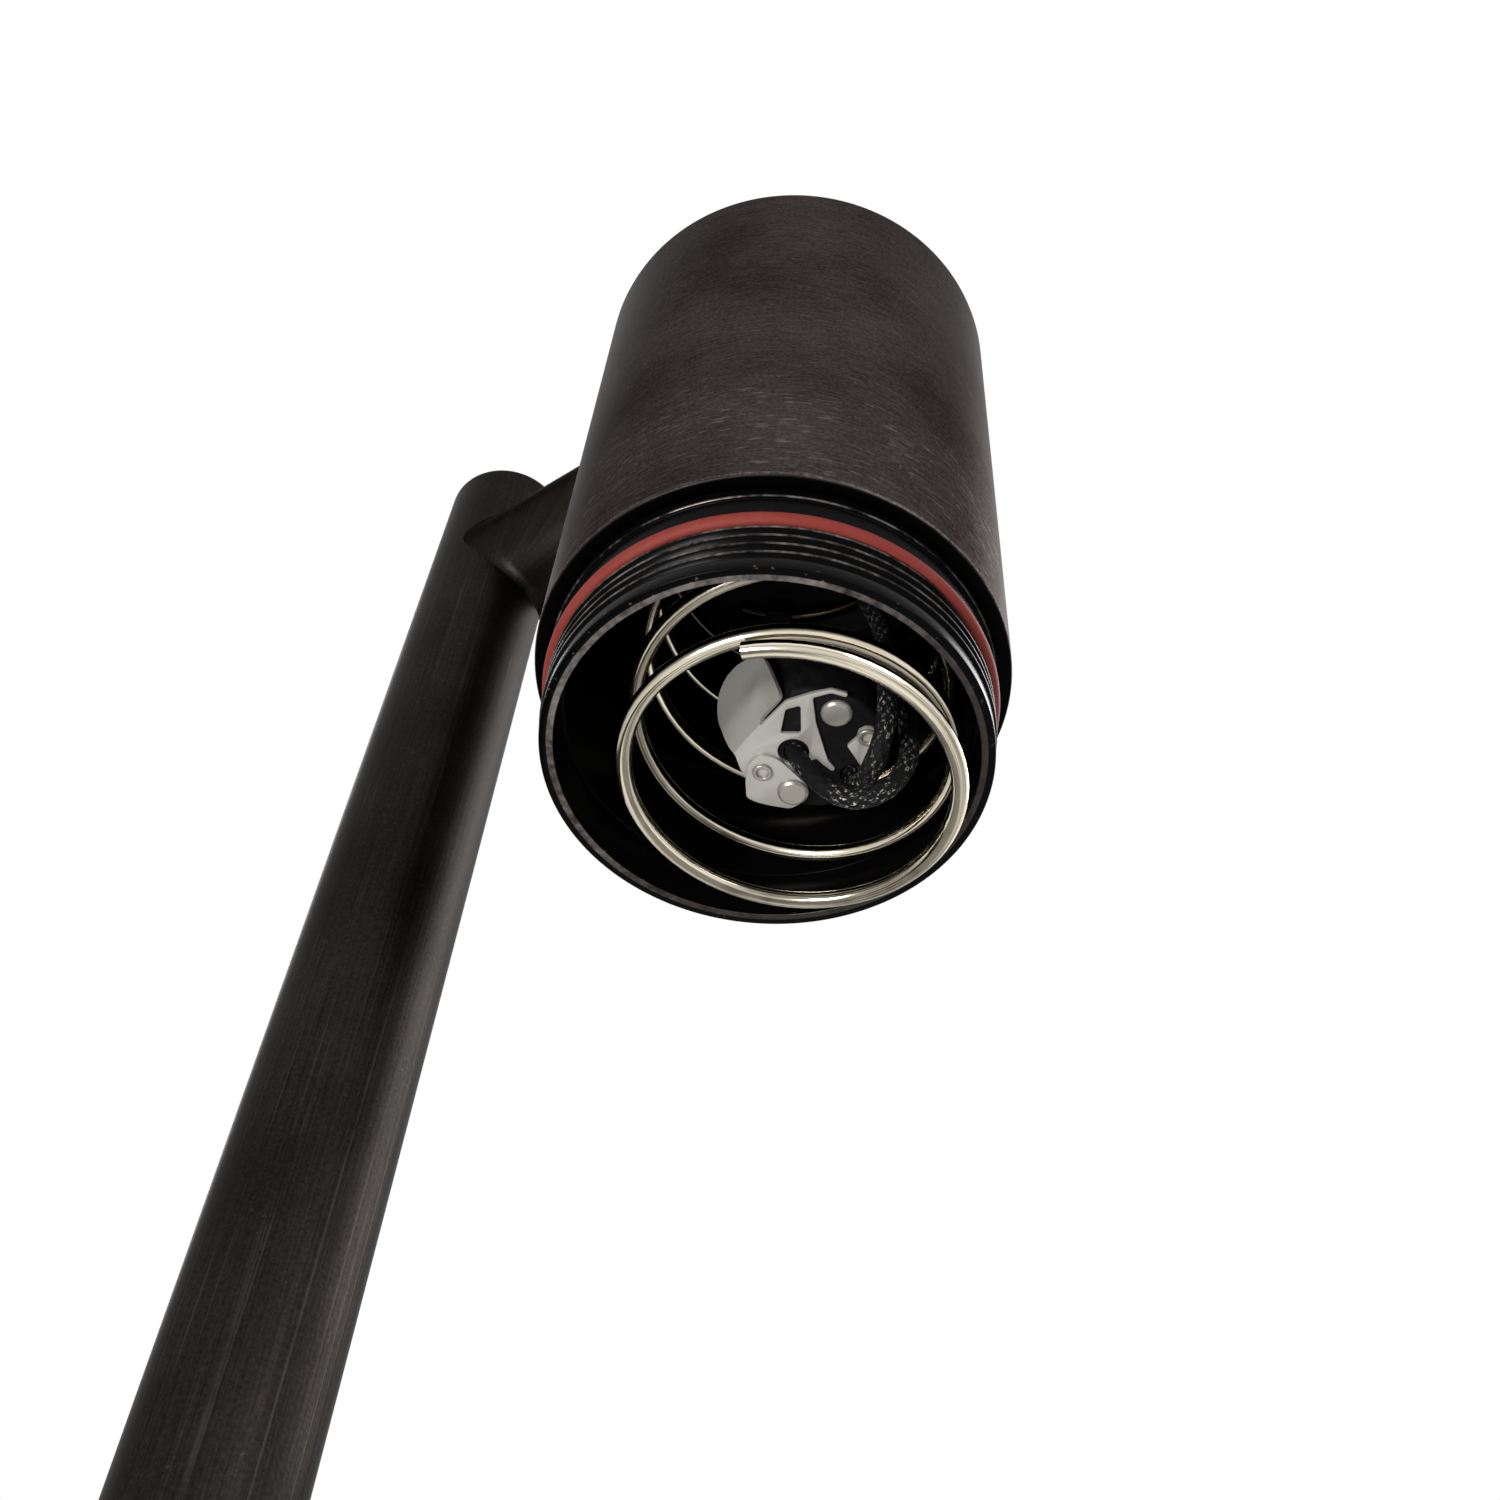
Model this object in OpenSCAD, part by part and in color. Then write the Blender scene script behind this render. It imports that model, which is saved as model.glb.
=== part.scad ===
// Staked low-voltage garden light: a gunmetal-bronze down-light head on a side arm and stem.
// The lens cap is off, so the threaded collar, the lamp spring and the lampholder on its leads show.
// Millimetres, +Z up. The origin is on the stem's axis at ground level, and the arm points along +X.

/* [Stem] */
// Height of the collar's open rim above the ground
rim_height = 340; // [260:1:600]
// Outer diameter of the stem tube
stem_od = 21.3; // [19:0.1:25]
// Wall of the stem tube
stem_wall = 2; // [1.5:0.1:3]
// Thickness of the cap that closes the stem's top
stem_cap_t = 2.5; // [2:0.1:5]
// Rounding of the stem cap's edge
stem_cap_edge = 1.8; // [0.5:0.1:2]

/* [Arm] */
// Distance from the stem's axis to the head's axis
arm_reach = 67; // [60:0.5:90]
// Outer diameter of the arm tube
arm_od = 20; // [17:0.1:20.4]
// Wall of the arm tube
arm_wall = 2; // [1.5:0.1:3]
// Distance from the head's top down to the arm's axis
arm_below_top = 13.9; // [11:0.1:18]
// Height of the stem's top above the arm's axis
stem_over_arm = 24.3; // [14:0.1:40]
// Diameter of the weep hole in the arm
weep_d = 1.4; // [1:0.1:2]

/* [Head] */
// Outer diameter of the head
head_od = 64.6; // [63:0.1:72]
// Wall of the head
head_wall = 3.3; // [2.6:0.1:3.6]
// Length of the head from its lower edge to its top
head_len = 91.6; // [85:0.1:110]
// Thickness of the head's top
head_top_t = 4; // [3:0.1:5]
// Rounding of the head's top edge
head_edge = 1.7; // [1:0.1:3.5]
// Chamfer on the head's lower edge
head_chamfer = 0.5; // [0.3:0.1:1]
// Depth of the wiring chamber under the head's top
chamber_depth = 38.2; // [33:0.1:40]

/* [Collar] */
// Length of the collar below the head's lower edge
collar_len = 16.6; // [16:0.1:20]
// Outer diameter of the thread on the collar
thread_od = 59.2; // [58.6:0.1:59.4]
// Pitch of the thread
thread_pitch = 1.87; // [1.5:0.01:2]
// Depth of the thread
thread_depth = 0.9; // [0.5:0.1:1]
// Number of thread crests
thread_turns = 4; // [3:1:4]
// Diameter of the plain pilot land at the open end
pilot_od = 58.6; // [58:0.1:58.8]
// Length of the plain pilot land
pilot_len = 2.1; // [1.5:0.1:2.2]
// Diameter of the opening at the rim
rim_bore = 54.9; // [54:0.1:55.2]
// Diameter of the opening above the lens step
inner_bore = 53.9; // [52.5:0.1:54]
// Height of the lens step above the rim
step_height = 7.5; // [5:0.1:10]
// Length of the collar's plug inside the head
plug_len = 12; // [8:0.5:18]
// Thickness of the O-ring
ring_d = 2.1; // [1.8:0.05:2.2]

/* [Lamp spring] */
// Thickness of the spring wire
wire_d = 2.3; // [1.6:0.05:2.4]
// Mean radius of the spring's free end
spring_r = 21.9; // [21:0.1:22]
// Mean radius of the spring's seated end
spring_seat_r = 20.6; // [20:0.1:21]
// Distance that the free end hangs below the rim
spring_proud = 2.9; // [1:0.1:6]
// Number of turns in the spring
spring_turns = 5.6; // [5:0.1:7]
// How far the free end leans sideways, along the lean direction
spring_lean = 4; // [0:0.1:4]

/* [Lampholder] */
// Diameter of the lampholder's body
holder_d = 20; // [18:0.1:21]
// Thickness of the wire-side half
holder_t = 7.4; // [6:0.1:9]
// Thickness of the pin-side half
holder_cap_t = 5; // [4:0.1:7]
// Height of the lampholder's lower face above the rim
holder_rise = 7; // [6:0.1:14]
// Pin spacing of the lamp base
pin_pitch = 5.33; // [5.3:0.01:5.4]
// Diameter of the pin holes
pin_hole_d = 2; // [1.7:0.1:2.2]
// Thickness of the bracket's sheet
sheet_t = 0.6; // [0.4:0.05:0.8]

/* [Wiring] */
// Thickness of a sleeved lampholder lead
lead_d = 2.7; // [2.2:0.1:2.9]
// Thickness of a riser lead in the arm and stem
riser_d = 3; // [2.4:0.1:3.2]
// Diameter of a butt splice
splice_d = 6; // [5:0.1:6.5]
// Length of a butt splice
splice_len = 12; // [10:0.5:12]

/* [Stake] */
// Outer diameter of the stake's hub
hub_od = 44; // [40:1:60]
// Height of the hub's top above the ground
hub_rise = 8; // [5:0.5:20]
// Depth of the hub below the ground
hub_depth = 42; // [40:1:60]
// Length of the blades below the ground
blade_len = 240; // [180:5:320]
// Thickness of a blade
blade_t = 5; // [4:0.5:8]
// Outer diameter of the pipe thread under the stem
nipple_od = 20.8; // [19.5:0.1:21]
// Bore of the nipple under the stem
nipple_bore = 12; // [10:0.5:13]
// Height of the lock nut
nut_h = 6; // [5:0.5:10]
// Width of the lock nut across its flats
nut_af = 28; // [26:0.5:34]
// Length of thread that the stake's insert holds
insert_len = 16; // [12:0.5:20]

/* [Hidden] */
$fn = 72;

slip = 0.05;        // radial clearance of a part that turns or slides in another
seat_gap = 0.1;     // clearance of a part that is dropped into its seat
eps = 0.5;          // how far a cutter runs past the face that it opens

// Head levels, from the rim up
head_x = arm_reach;
head_r = head_od / 2;
bore_r = head_r - head_wall;
rim_z = rim_height;
shoulder_z = rim_z + collar_len;
top_z = shoulder_z + head_len;
roof_z = top_z - head_top_t;
plate_t = 2;
plate_top = roof_z - chamber_depth;
plate_z = plate_top - plate_t;
arm_z = top_z - arm_below_top;
stem_top = arm_z + stem_over_arm;

// Collar
thread_r = thread_od / 2;
root_r = thread_r - thread_depth;
pilot_r = pilot_od / 2;
rim_chamfer = 0.2;
flange_proud = 0.6;                 // how far the flange stands out over the thread
flange_t = 1.5;                     // height of the flange below the head's edge
flange_seat = 2;                    // depth of the flange's seat in the head
neck_proud = 0.1;                   // how far the neck stands out over the thread
ring_play = 0.3;                    // width of the groove over the O-ring's thickness
ring_proud = 0.65;                  // how far the O-ring stands out over the neck
thread_runout = 0.2;                // how far the O-ring's groove cuts into the thread's end, in pitches
flange_r = thread_r + flange_proud;
neck_r = thread_r + neck_proud;
groove_w = ring_d + ring_play;
thread_z = rim_z + rim_chamfer + pilot_len;
groove_z = thread_z + (thread_turns - thread_runout) * thread_pitch;
ring_z = groove_z + groove_w / 2;
ring_mean_r = neck_r + ring_proud - ring_d / 2;
groove_r = ring_mean_r - ring_d / 2;
thread_foot = 0.42;                 // half width of a thread's foot, in pitches
thread_crest = 0.1;                 // half width of a thread's crest, in pitches

// Retaining ring and plate
retain_t = 1.2;
retain_z = plate_z - retain_t;
retain_depth = 0.8;                 // depth of its groove in the head
retain_reach = 2;                   // how far it reaches in from the head's bore
retain_gap = 8;
retain_gap_dir = 60;
plate_hole = [7.4, 1.8];
plate_hole_r = 4.6;
hook_gap = 0.3;
hook_t = 1;
hook_w = 4;
hook_root = 0.2;                    // how far a hook's foot is sunk in the plate
hook_slack = 0.3;                   // space left under the wire's slope on a hook
hook_backs = [0.05, 0.28, 0.5];     // the hooks' places, in turns back from the seated wire's end
plate_ledge = 1.5;                  // step that the plate seats against
grommet_lip = 1.2;
grommet_lip_t = 1;
grommet_wall = 1.1;

// Spring
wire_r = wire_d / 2;
spring_low = rim_z - spring_proud;
spring_high = plate_z - wire_r - slip;
spring_travel = spring_high - spring_low - wire_r;
spring_start = -71.7;               // direction of the cut end, seen from above
lean_dir = 74.4;                    // direction that the spring leans to
lean_end = 0.156;                   // part of the rise over which the lean fades out at the seat
closed_turns = 0.93;                // closed turns at the free end
seated_turns = 0.3;                 // closed turns at the seat
coil_spread = 1.03;                 // pitch of the closed turns, in wire thicknesses
coil_pitch = coil_spread * wire_d;
steps_per_turn = 28;
tilt_low = 4.67;                    // slope of the free end's plane
tilt_dir = 14.2;                    // direction in which that plane drops

// Lampholder, in axes turned about Z from the part's own
holder_turn = 37;
holder_at = [2.9, 6.7];
holder_z = rim_z + holder_rise;
body_z = holder_z + sheet_t;
cap_z = body_z + holder_t;
holder_r = holder_d / 2;
rivet_at = [-6.7, 3.4];
disc_at = [-2.4, 6.5];
eyelet_r = 1.05;
eyelet_bore_r = 0.8;
eyelet_lip = 0.3;
eyelet_lip_t = 0.5;
disc_r = 2.1;
disc_h = 0.7;
shank_r = 0.85;
shank_l = 1.2;                      // length of the far disc's shank in the body
clip_w = 1.8;
clip_l = 2.8;
clip_t = 0.4;
clip_pocket = 0.3;                  // space round a clip in its pocket
clip_rise = 2;                      // thickness of the body under the clips
wire_recess_h = 1.4;                // depth of a lead's recess in the body
recess_play = 0.25;                 // space round a lead in its recess
cap_step = 1.5;
cap_step_at = 0.6;                  // height of the cap's step, as a part of its thickness
flat_at = 7.8;                      // distance of the flat on the wing's side from the holder's axis
wing_at = [-7.1, -3.7];             // where the wing's fold ends at its slit
wing_dir = -59.3;                   // direction of the fold
wing_lean = 20;                     // how far the wing leans out from upright
wing_outline = [[0, 0], [0.5, 0.9], [5, 0.9], [4, 9.2], [2.6, 10.5], [-0.5, 11.8], [-3.4, 12],
    [-5.7, 11.2], [-7.2, 9.5], [-7.8, 7.4], [-7.4, 4.7], [-6.8, 1.9], [-6.2, 0]];
port_at = [-2.8, 0.1];              // the port in the foot that lead_1 passes
port_r = 2.1;
tab_ring = 0.4;                     // width of the small tab round its eyelet

// Wiring chamber and stem
splice_rise = 10;                   // height of the splices over the plate
riser_y = 2.4;
riser_bend = 8;
splice_bend = 6;
riser_straight = 1;
stem_r = stem_od / 2;
stem_bore_r = stem_r - stem_wall;
arm_r = arm_od / 2;
wire_port_r = 6;

// Stake end
insert_flange_t = 2;
insert_flange = 2.5;
insert_wall = 4.5;
nut_play = 0.2;
nut_z = hub_rise + insert_flange_t + nut_play;
nipple_flange_t = 3;
nipple_flange = 1.5;
nipple_flange_z = nut_z + nut_h + nut_play;
spigot_len = 12;
nipple_lift = 2;                    // height of the nipple's lower end over the insert's
stem_foot = nipple_flange_z + nipple_flange_t;
nipple_low = hub_rise - insert_len + nipple_lift;
insert_r = nipple_od / 2 + insert_wall;
pocket_floor = hub_rise - insert_len;
chamber_r = 11;
slot_w = 8;
slot_rise = 10;                     // height of the cable slot over the hub's lower end
slot_roof = 4;                      // thickness of the hub between the slot and the insert
hub_floor = 6;
blade_shoulder = [0.7, 0.75];       // where a blade turns in to its tip, in hub radii and blade lengths
plug_flange_t = 1.5;
plug_flange = 1.5;
cap_spigot = 5;
weep_at = 7.3;                      // distance of the weep hole from the stem
weep_turn = -108;
plug_h = 10;

// ---- points and paths ----
function turned(p, a) = [p.x * cos(a) - p.y * sin(a), p.x * sin(a) + p.y * cos(a), p.z];
function head_pt(p) = turned(p, holder_turn) + [head_x, 0, rim_z];
function plate_pt(p) = turned(p, holder_turn) + [head_x, 0, plate_top];
function turned_back(p) = [p.x * cos(holder_turn) + p.y * sin(holder_turn),
    p.y * cos(holder_turn) - p.x * sin(holder_turn)];
function unit(v) = v / norm(v);
function ring_pts(p, along, r, sides, side) =
    let(a = unit(cross(along, side)), b = cross(along, a))
    [for (i = [0 : sides - 1]) p + r * (cos(360 * i / sides) * a + sin(360 * i / sides) * b)];
function arc(c, r, from, to, n) = [for (i = [0 : n]) let(t = from + (to - from) * i / n)
    [c.x + r * cos(t), c.y + r * sin(t)]];

// A round tube along a path. side is a direction that the path never takes.
module tube(path, r, sides, side) {
    last = len(path) - 1;
    function tangent(i) = unit(path[min(i + 1, last)] - path[max(i - 1, 0)]);
    points = [for (i = [0 : last]) each ring_pts(path[i], tangent(i), r, sides, side)];
    sides_a = [for (i = [0 : last - 1], k = [0 : sides - 1])
        [i * sides + k, (i + 1) * sides + k, (i + 1) * sides + (k + 1) % sides]];
    sides_b = [for (i = [0 : last - 1], k = [0 : sides - 1])
        [i * sides + k, (i + 1) * sides + (k + 1) % sides, i * sides + (k + 1) % sides]];
    ends = [[for (k = [0 : sides - 1]) k], [for (k = [sides - 1 : -1 : 0]) last * sides + k]];
    polyhedron(points, concat(sides_a, sides_b, ends), convexity = 4);
}

// The spring's centreline, n turns from the cut end: closed, then open, then closed at the seat
function spring_rise(n) =
    let(open_turns = spring_turns - closed_turns - seated_turns,
        open = min(max(n - closed_turns, 0), open_turns),
        flat = coil_pitch * spring_turns)
    coil_pitch * n + (spring_travel - flat) * open / open_turns;
function spring_pt(n) =
    let(share = n / spring_turns,
        tilt = tilt_low * (1 - share),
        r = spring_r + (spring_seat_r - spring_r) * share,
        a = spring_start + 360 * n,
        lean = spring_lean * min((1 - spring_rise(n) / spring_travel) / lean_end, 1))
    [head_x + lean * cos(lean_dir) + r * cos(a), lean * sin(lean_dir) + r * sin(a),
        spring_low + wire_r + spring_rise(n) - tan(tilt) * r * cos(a - tilt_dir)];

// Lampholder leads, in the lampholder's turned axes. The first stretch runs from the splice down through
// the plate, with its heights over the plate's top. The second hangs in a loop below the holder and turns
// up into it, with its heights over the rim.
lead_1_top = [[9.6, 2.8, splice_rise], [9.6, 2.8, 8.5], [9.2, 1.2, 5.5], [8.4, -1.5, 2], [8.2, -1.9, -4]];
lead_1_pts = [[9.8, -1, 52], [12, -0.4, 44], [14.4, 0.2, 35], [16.6, 0.8, 26], [18, 1.1, 18],
    [18.5, 1, 11.5], [18.6, 0.8, 6], [18.3, 0.8, 3], [17.3, 1.1, 0.2], [15.6, 1.7, -1.9],
    [13.3, 2.5, -2.9], [10.9, 3.1, -2.6], [8.8, 3.4, -1.1], [6.8, 3.6, 1.2], [5, 3.9, 4.2],
    [3.8, 4.2, 7.4], [3.8, 4.2, 8.9]];
lead_2_top = [[0, -10, splice_rise], [0, -10, 8.5], [1.6, -8.4, 6], [4.8, -5.2, 3.6], [5.7, -4.3, 0.5],
    [5.9, -4.1, -6]];
lead_2_pts = [[7.2, -3.6, 52], [9.4, -3.7, 44], [11.8, -3.8, 35], [14.2, -3.7, 27], [15.1, -4.1, 19.5],
    [15.2, -4.1, 13], [15.2, -4.1, 7.4], [15.1, -3.7, 5.1], [14.7, -2.4, 3.1], [14.1, -0.6, 1.8],
    [13.4, 1.6, 1.4], [12.7, 3.9, 1.8], [12.1, 5.7, 3.1], [11.7, 7, 5.1], [11.6, 7.4, 7.4],
    [11.6, 7.4, 8.9]];

module in_head() { translate([head_x, 0, 0]) children(); }
module in_holder(z) {
    translate([head_x + holder_at.x, holder_at.y, z]) rotate(holder_turn) children();
}
module disc(r, h, z) { translate([0, 0, z]) cylinder(r = r, h = h); }

// ---- stake ----
module blade(turn) {
    half = hub_od / 2;
    rotate([90, 0, turn]) linear_extrude(blade_t, center = true)
        polygon([[-half, -hub_depth], [half, -hub_depth],
            [half * blade_shoulder.x, -blade_len * blade_shoulder.y], [blade_t / 2, -blade_len],
            [-blade_t / 2, -blade_len], [-half * blade_shoulder.x, -blade_len * blade_shoulder.y]]);
}
module ground_stake() {
    color([0.09, 0.09, 0.09]) {
        difference() {
            disc(hub_od / 2, hub_rise + hub_depth, -hub_depth);
            disc(insert_r + slip, insert_len + eps, pocket_floor);
            disc(chamber_r, pocket_floor + hub_depth - hub_floor, hub_floor - hub_depth);
            translate([-hub_od, -slot_w / 2, slot_rise - hub_depth])
                cube([hub_od, slot_w, pocket_floor + hub_depth - slot_rise - slot_roof]);
        }
        blade(0);
        blade(90);
    }
}
module stake_insert() {
    color([0.62, 0.5, 0.3]) difference() {
        union() {
            disc(insert_r, insert_len, pocket_floor);
            disc(insert_r + insert_flange, insert_flange_t, hub_rise);
        }
        disc(nipple_od / 2 + slip, insert_len + insert_flange_t + 2 * eps, pocket_floor - eps);
    }
}
module stem_nipple() {
    color([0.5, 0.42, 0.28]) difference() {
        union() {
            disc(nipple_od / 2, nipple_flange_z - nipple_low, nipple_low);
            disc(stem_r + nipple_flange, nipple_flange_t, nipple_flange_z);
            disc(stem_bore_r - slip, spigot_len, stem_foot);
        }
        disc(nipple_bore / 2, stem_foot - nipple_low + spigot_len + 2 * eps, nipple_low - eps);
    }
}
module lock_nut() {
    color([0.2, 0.18, 0.17]) difference() {
        translate([0, 0, nut_z]) cylinder(d = nut_af / cos(30), h = nut_h, $fn = 6);
        disc(nipple_od / 2 + slip, nut_h + 2 * eps, nut_z - eps);
    }
}
module cable_plug() {
    color([0.07, 0.07, 0.07]) difference() {
        union() {
            disc(nipple_bore / 2 - slip, plug_h, nipple_low);
            disc(nipple_bore / 2 + plug_flange, plug_flange_t, nipple_low - plug_flange_t);
        }
        for (s = [-1, 1]) translate([0, s * riser_y, nipple_low - plug_flange_t - eps])
            cylinder(r = riser_d / 2 + seat_gap, h = plug_h + plug_flange_t + 2 * eps);
    }
}

// ---- stem and arm ----
module stem_tube() {
    color([0.14, 0.125, 0.12]) difference() {
        disc(stem_r, stem_top - stem_cap_t - stem_foot, stem_foot);
        disc(stem_bore_r, stem_top, stem_foot - eps);
        translate([0, 0, arm_z]) rotate([0, 90, 0]) cylinder(r = wire_port_r, h = stem_od);
    }
}
module stem_cap() {
    color([0.14, 0.125, 0.12]) {
        translate([0, 0, stem_top - stem_cap_t]) rotate_extrude()
            polygon(concat([[0, 0], [stem_r, 0]],
                arc([stem_r - stem_cap_edge, stem_cap_t - stem_cap_edge], stem_cap_edge, 0, 90, 6),
                [[0, stem_cap_t]]));
        disc(stem_bore_r - slip, cap_spigot, stem_top - stem_cap_t - cap_spigot);
    }
}
module support_arm() {
    color([0.14, 0.125, 0.12]) difference() {
        translate([0, 0, arm_z]) rotate([0, 90, 0]) cylinder(r = arm_r, h = arm_reach);
        translate([-eps, 0, arm_z]) rotate([0, 90, 0])
            cylinder(r = arm_r - arm_wall, h = arm_reach + 2 * eps);
        disc(stem_r, stem_top, 0);
        in_head() disc(head_r, top_z, 0);
        translate([stem_r + weep_at, 0, arm_z]) rotate([weep_turn, 0, 0]) translate([0, 0, -arm_od])
            cylinder(d = weep_d, h = arm_od);
    }
}

// ---- head ----
module head_shell() {
    color([0.17, 0.15, 0.145]) in_head() difference() {
        translate([0, 0, shoulder_z]) rotate_extrude()
            polygon(concat([[0, 0], [head_r - head_chamfer, 0], [head_r, head_chamfer]],
                arc([head_r - head_edge, head_len - head_edge], head_edge, 0, 90, 8), [[0, head_len]]));
        disc(bore_r, plate_top - shoulder_z + eps, shoulder_z - eps);
        disc(flange_r + slip, flange_seat + eps, shoulder_z - eps);
        disc(bore_r + retain_depth, retain_t + seat_gap, retain_z - seat_gap / 2);
        disc(bore_r - plate_ledge, roof_z - shoulder_z, shoulder_z);
        translate([-head_od, 0, arm_z]) rotate([0, 90, 0]) cylinder(r = wire_port_r, h = head_od);
    }
}
module threaded_collar() {
    color([0.08, 0.075, 0.07]) in_head() difference() {
        union() {
            disc(bore_r - slip, plug_len + flange_t, shoulder_z - flange_t);
            disc(flange_r, flange_t + flange_seat, shoulder_z - flange_t);
            disc(neck_r, shoulder_z - flange_t - groove_z - groove_w, groove_z + groove_w);
            disc(groove_r, groove_w, groove_z);
            disc(root_r, groove_z - thread_z, thread_z);
            translate([0, 0, rim_z]) cylinder(r1 = pilot_r - rim_chamfer, r2 = pilot_r, h = rim_chamfer);
            disc(pilot_r, pilot_len, rim_z + rim_chamfer);
            for (i = [0 : thread_turns - 1]) thread_ridge(thread_z + (i + 0.5) * thread_pitch);
        }
        disc(rim_bore / 2, step_height + eps, rim_z - eps);
        disc(inner_bore / 2, collar_len + plug_len + eps, rim_z);
    }
}
module thread_ridge(z) {
    foot = thread_pitch * thread_foot;
    crest = thread_pitch * thread_crest;
    inner = root_r - slip;
    translate([0, 0, z]) rotate_extrude()
        polygon([[inner, -foot], [root_r, -foot], [thread_r, -crest], [thread_r, crest],
            [root_r, foot], [inner, foot]]);
}
module o_ring() {
    color([0.55, 0.16, 0.12]) in_head() translate([0, 0, ring_z]) rotate_extrude()
        translate([ring_mean_r, 0]) circle(d = ring_d, $fn = 24);
}
module head_plate() {
    color([0.06, 0.06, 0.06]) in_head() {
        difference() {
            disc(bore_r - seat_gap, plate_t, plate_z);
            translate([plate_hole.x, plate_hole.y, plate_z - eps])
                cylinder(r = plate_hole_r, h = plate_t + 2 * eps);
        }
    }
    color([0.06, 0.06, 0.06]) for (back = hook_backs) spring_hook(spring_turns - back);
}
// A hook under the seated coil where the wire has run n turns
module spring_hook(n) {
    wire = spring_pt(n);
    drop = plate_z - wire.z + wire_r + hook_slack;
    translate([wire.x, wire.y, plate_z - drop - hook_t]) rotate(spring_start + 360 * n)
        translate([-wire_r - hook_gap - hook_t, -hook_w / 2, 0]) {
            cube([hook_t, hook_w, drop + hook_t + hook_root]);
            cube([hook_t + hook_gap + wire_d, hook_w, hook_t]);
        }
}
module retaining_ring() {
    color([0.3, 0.3, 0.3]) in_head() difference() {
        disc(bore_r + retain_depth - seat_gap, retain_t, retain_z);
        disc(bore_r - retain_reach, retain_t + 2 * eps, retain_z - eps);
        rotate(retain_gap_dir) translate([0, -retain_gap / 2, retain_z - eps])
            cube([head_od, retain_gap, retain_t + 2 * eps]);
    }
}
module plate_grommet() {
    color([0.07, 0.07, 0.07]) translate([head_x + plate_hole.x, plate_hole.y, 0]) difference() {
        union() {
            disc(plate_hole_r - slip, plate_t, plate_z);
            disc(plate_hole_r + grommet_lip, grommet_lip_t, plate_z - grommet_lip_t);
            disc(plate_hole_r + grommet_lip, grommet_lip_t, plate_top);
        }
        disc(plate_hole_r - grommet_wall, plate_t + 2 * grommet_lip_t + 2 * eps,
            plate_z - grommet_lip_t - eps);
    }
}
module arm_grommet() {
    inner_r = bore_r - plate_ledge;
    lip_r = wire_port_r + grommet_lip_t;
    lip_x = inner_r - sqrt(inner_r * inner_r - lip_r * lip_r) + seat_gap;
    back = head_wall + plate_ledge + grommet_lip_t;
    color([0.07, 0.07, 0.07]) translate([head_x - inner_r, 0, arm_z]) rotate([0, 90, 0])
        difference() {
            union() {
                translate([0, 0, -back]) cylinder(r = wire_port_r - slip, h = back + lip_x + grommet_lip_t);
                translate([0, 0, lip_x]) cylinder(r = lip_r, h = grommet_lip_t);
            }
            for (s = [-1, 1]) translate([0, s * riser_y, -back - eps])
                cylinder(r = riser_d / 2 + seat_gap, h = back + lip_x + grommet_lip_t + 2 * eps);
        }
}
module lamp_spring() {
    color([0.75, 0.74, 0.7])
        tube([for (i = [0 : spring_turns * steps_per_turn]) spring_pt(i / steps_per_turn)],
            wire_r, 8, [0, 0, 1]);
}

// ---- lampholder ----
module pin_pair() { for (s = [-1, 1]) translate([s * pin_pitch / 2, 0, 0]) children(); }
// Takes off what lies past the flat on the wing's side
module flat_cut() {
    rotate(wing_dir) translate([-holder_d, -flat_at - holder_d, body_z - eps])
        cube([2 * holder_d, holder_d, holder_t + holder_cap_t + 2 * eps]);
}
module lampholder_body() {
    color([0.1, 0.1, 0.1]) in_holder(0) difference() {
        disc(holder_r, holder_t, body_z);
        flat_cut();
        translate([-disc_at.x, -disc_at.y, body_z - eps]) cylinder(r = shank_r + slip, h = shank_l + eps);
        pin_pair() translate([-clip_w / 2 - clip_pocket, -clip_l / 2 - clip_pocket, body_z + clip_rise])
            cube([clip_w + 2 * clip_pocket, clip_l + 2 * clip_pocket, holder_t]);
        for (p = [rivet_at, -rivet_at]) translate([p.x, p.y, body_z - eps])
            cylinder(r = eyelet_r + slip, h = holder_t + 2 * eps);
        for (loop = [lead_1_pts, lead_2_pts]) lead_recess(loop[len(loop) - 1]);
    }
}
// The recess that a lead's end stands in, given that end
module lead_recess(end) {
    at = [end.x, end.y] - turned_back(holder_at);
    translate([at.x, at.y, body_z - eps]) cylinder(r = lead_d / 2 + recess_play, h = wire_recess_h + eps);
}
module lampholder_cap() {
    color([0.12, 0.12, 0.12]) in_holder(0) difference() {
        union() {
            disc(holder_r, holder_cap_t * cap_step_at, cap_z);
            disc(holder_r - cap_step, holder_cap_t, cap_z);
        }
        flat_cut();
        pin_pair() disc(pin_hole_d / 2, holder_cap_t + 2 * eps, cap_z - eps);
        for (p = [rivet_at, -rivet_at]) translate([p.x, p.y, cap_z - eps])
            cylinder(r = eyelet_r + slip, h = holder_cap_t + 2 * eps);
    }
}
module lampholder_bracket() {
    color([0.7, 0.69, 0.66]) in_holder(holder_z) difference() {
        union() {
            linear_extrude(sheet_t) foot_outline();
            translate([wing_at.x, wing_at.y, 0]) rotate([0, 0, wing_dir]) rotate([90 + wing_lean, 0, 0])
                linear_extrude(sheet_t) polygon(wing_outline);
        }
        translate([rivet_at.x, rivet_at.y, -eps]) cylinder(r = eyelet_r + slip, h = sheet_t + 2 * eps);
    }
}
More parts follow.
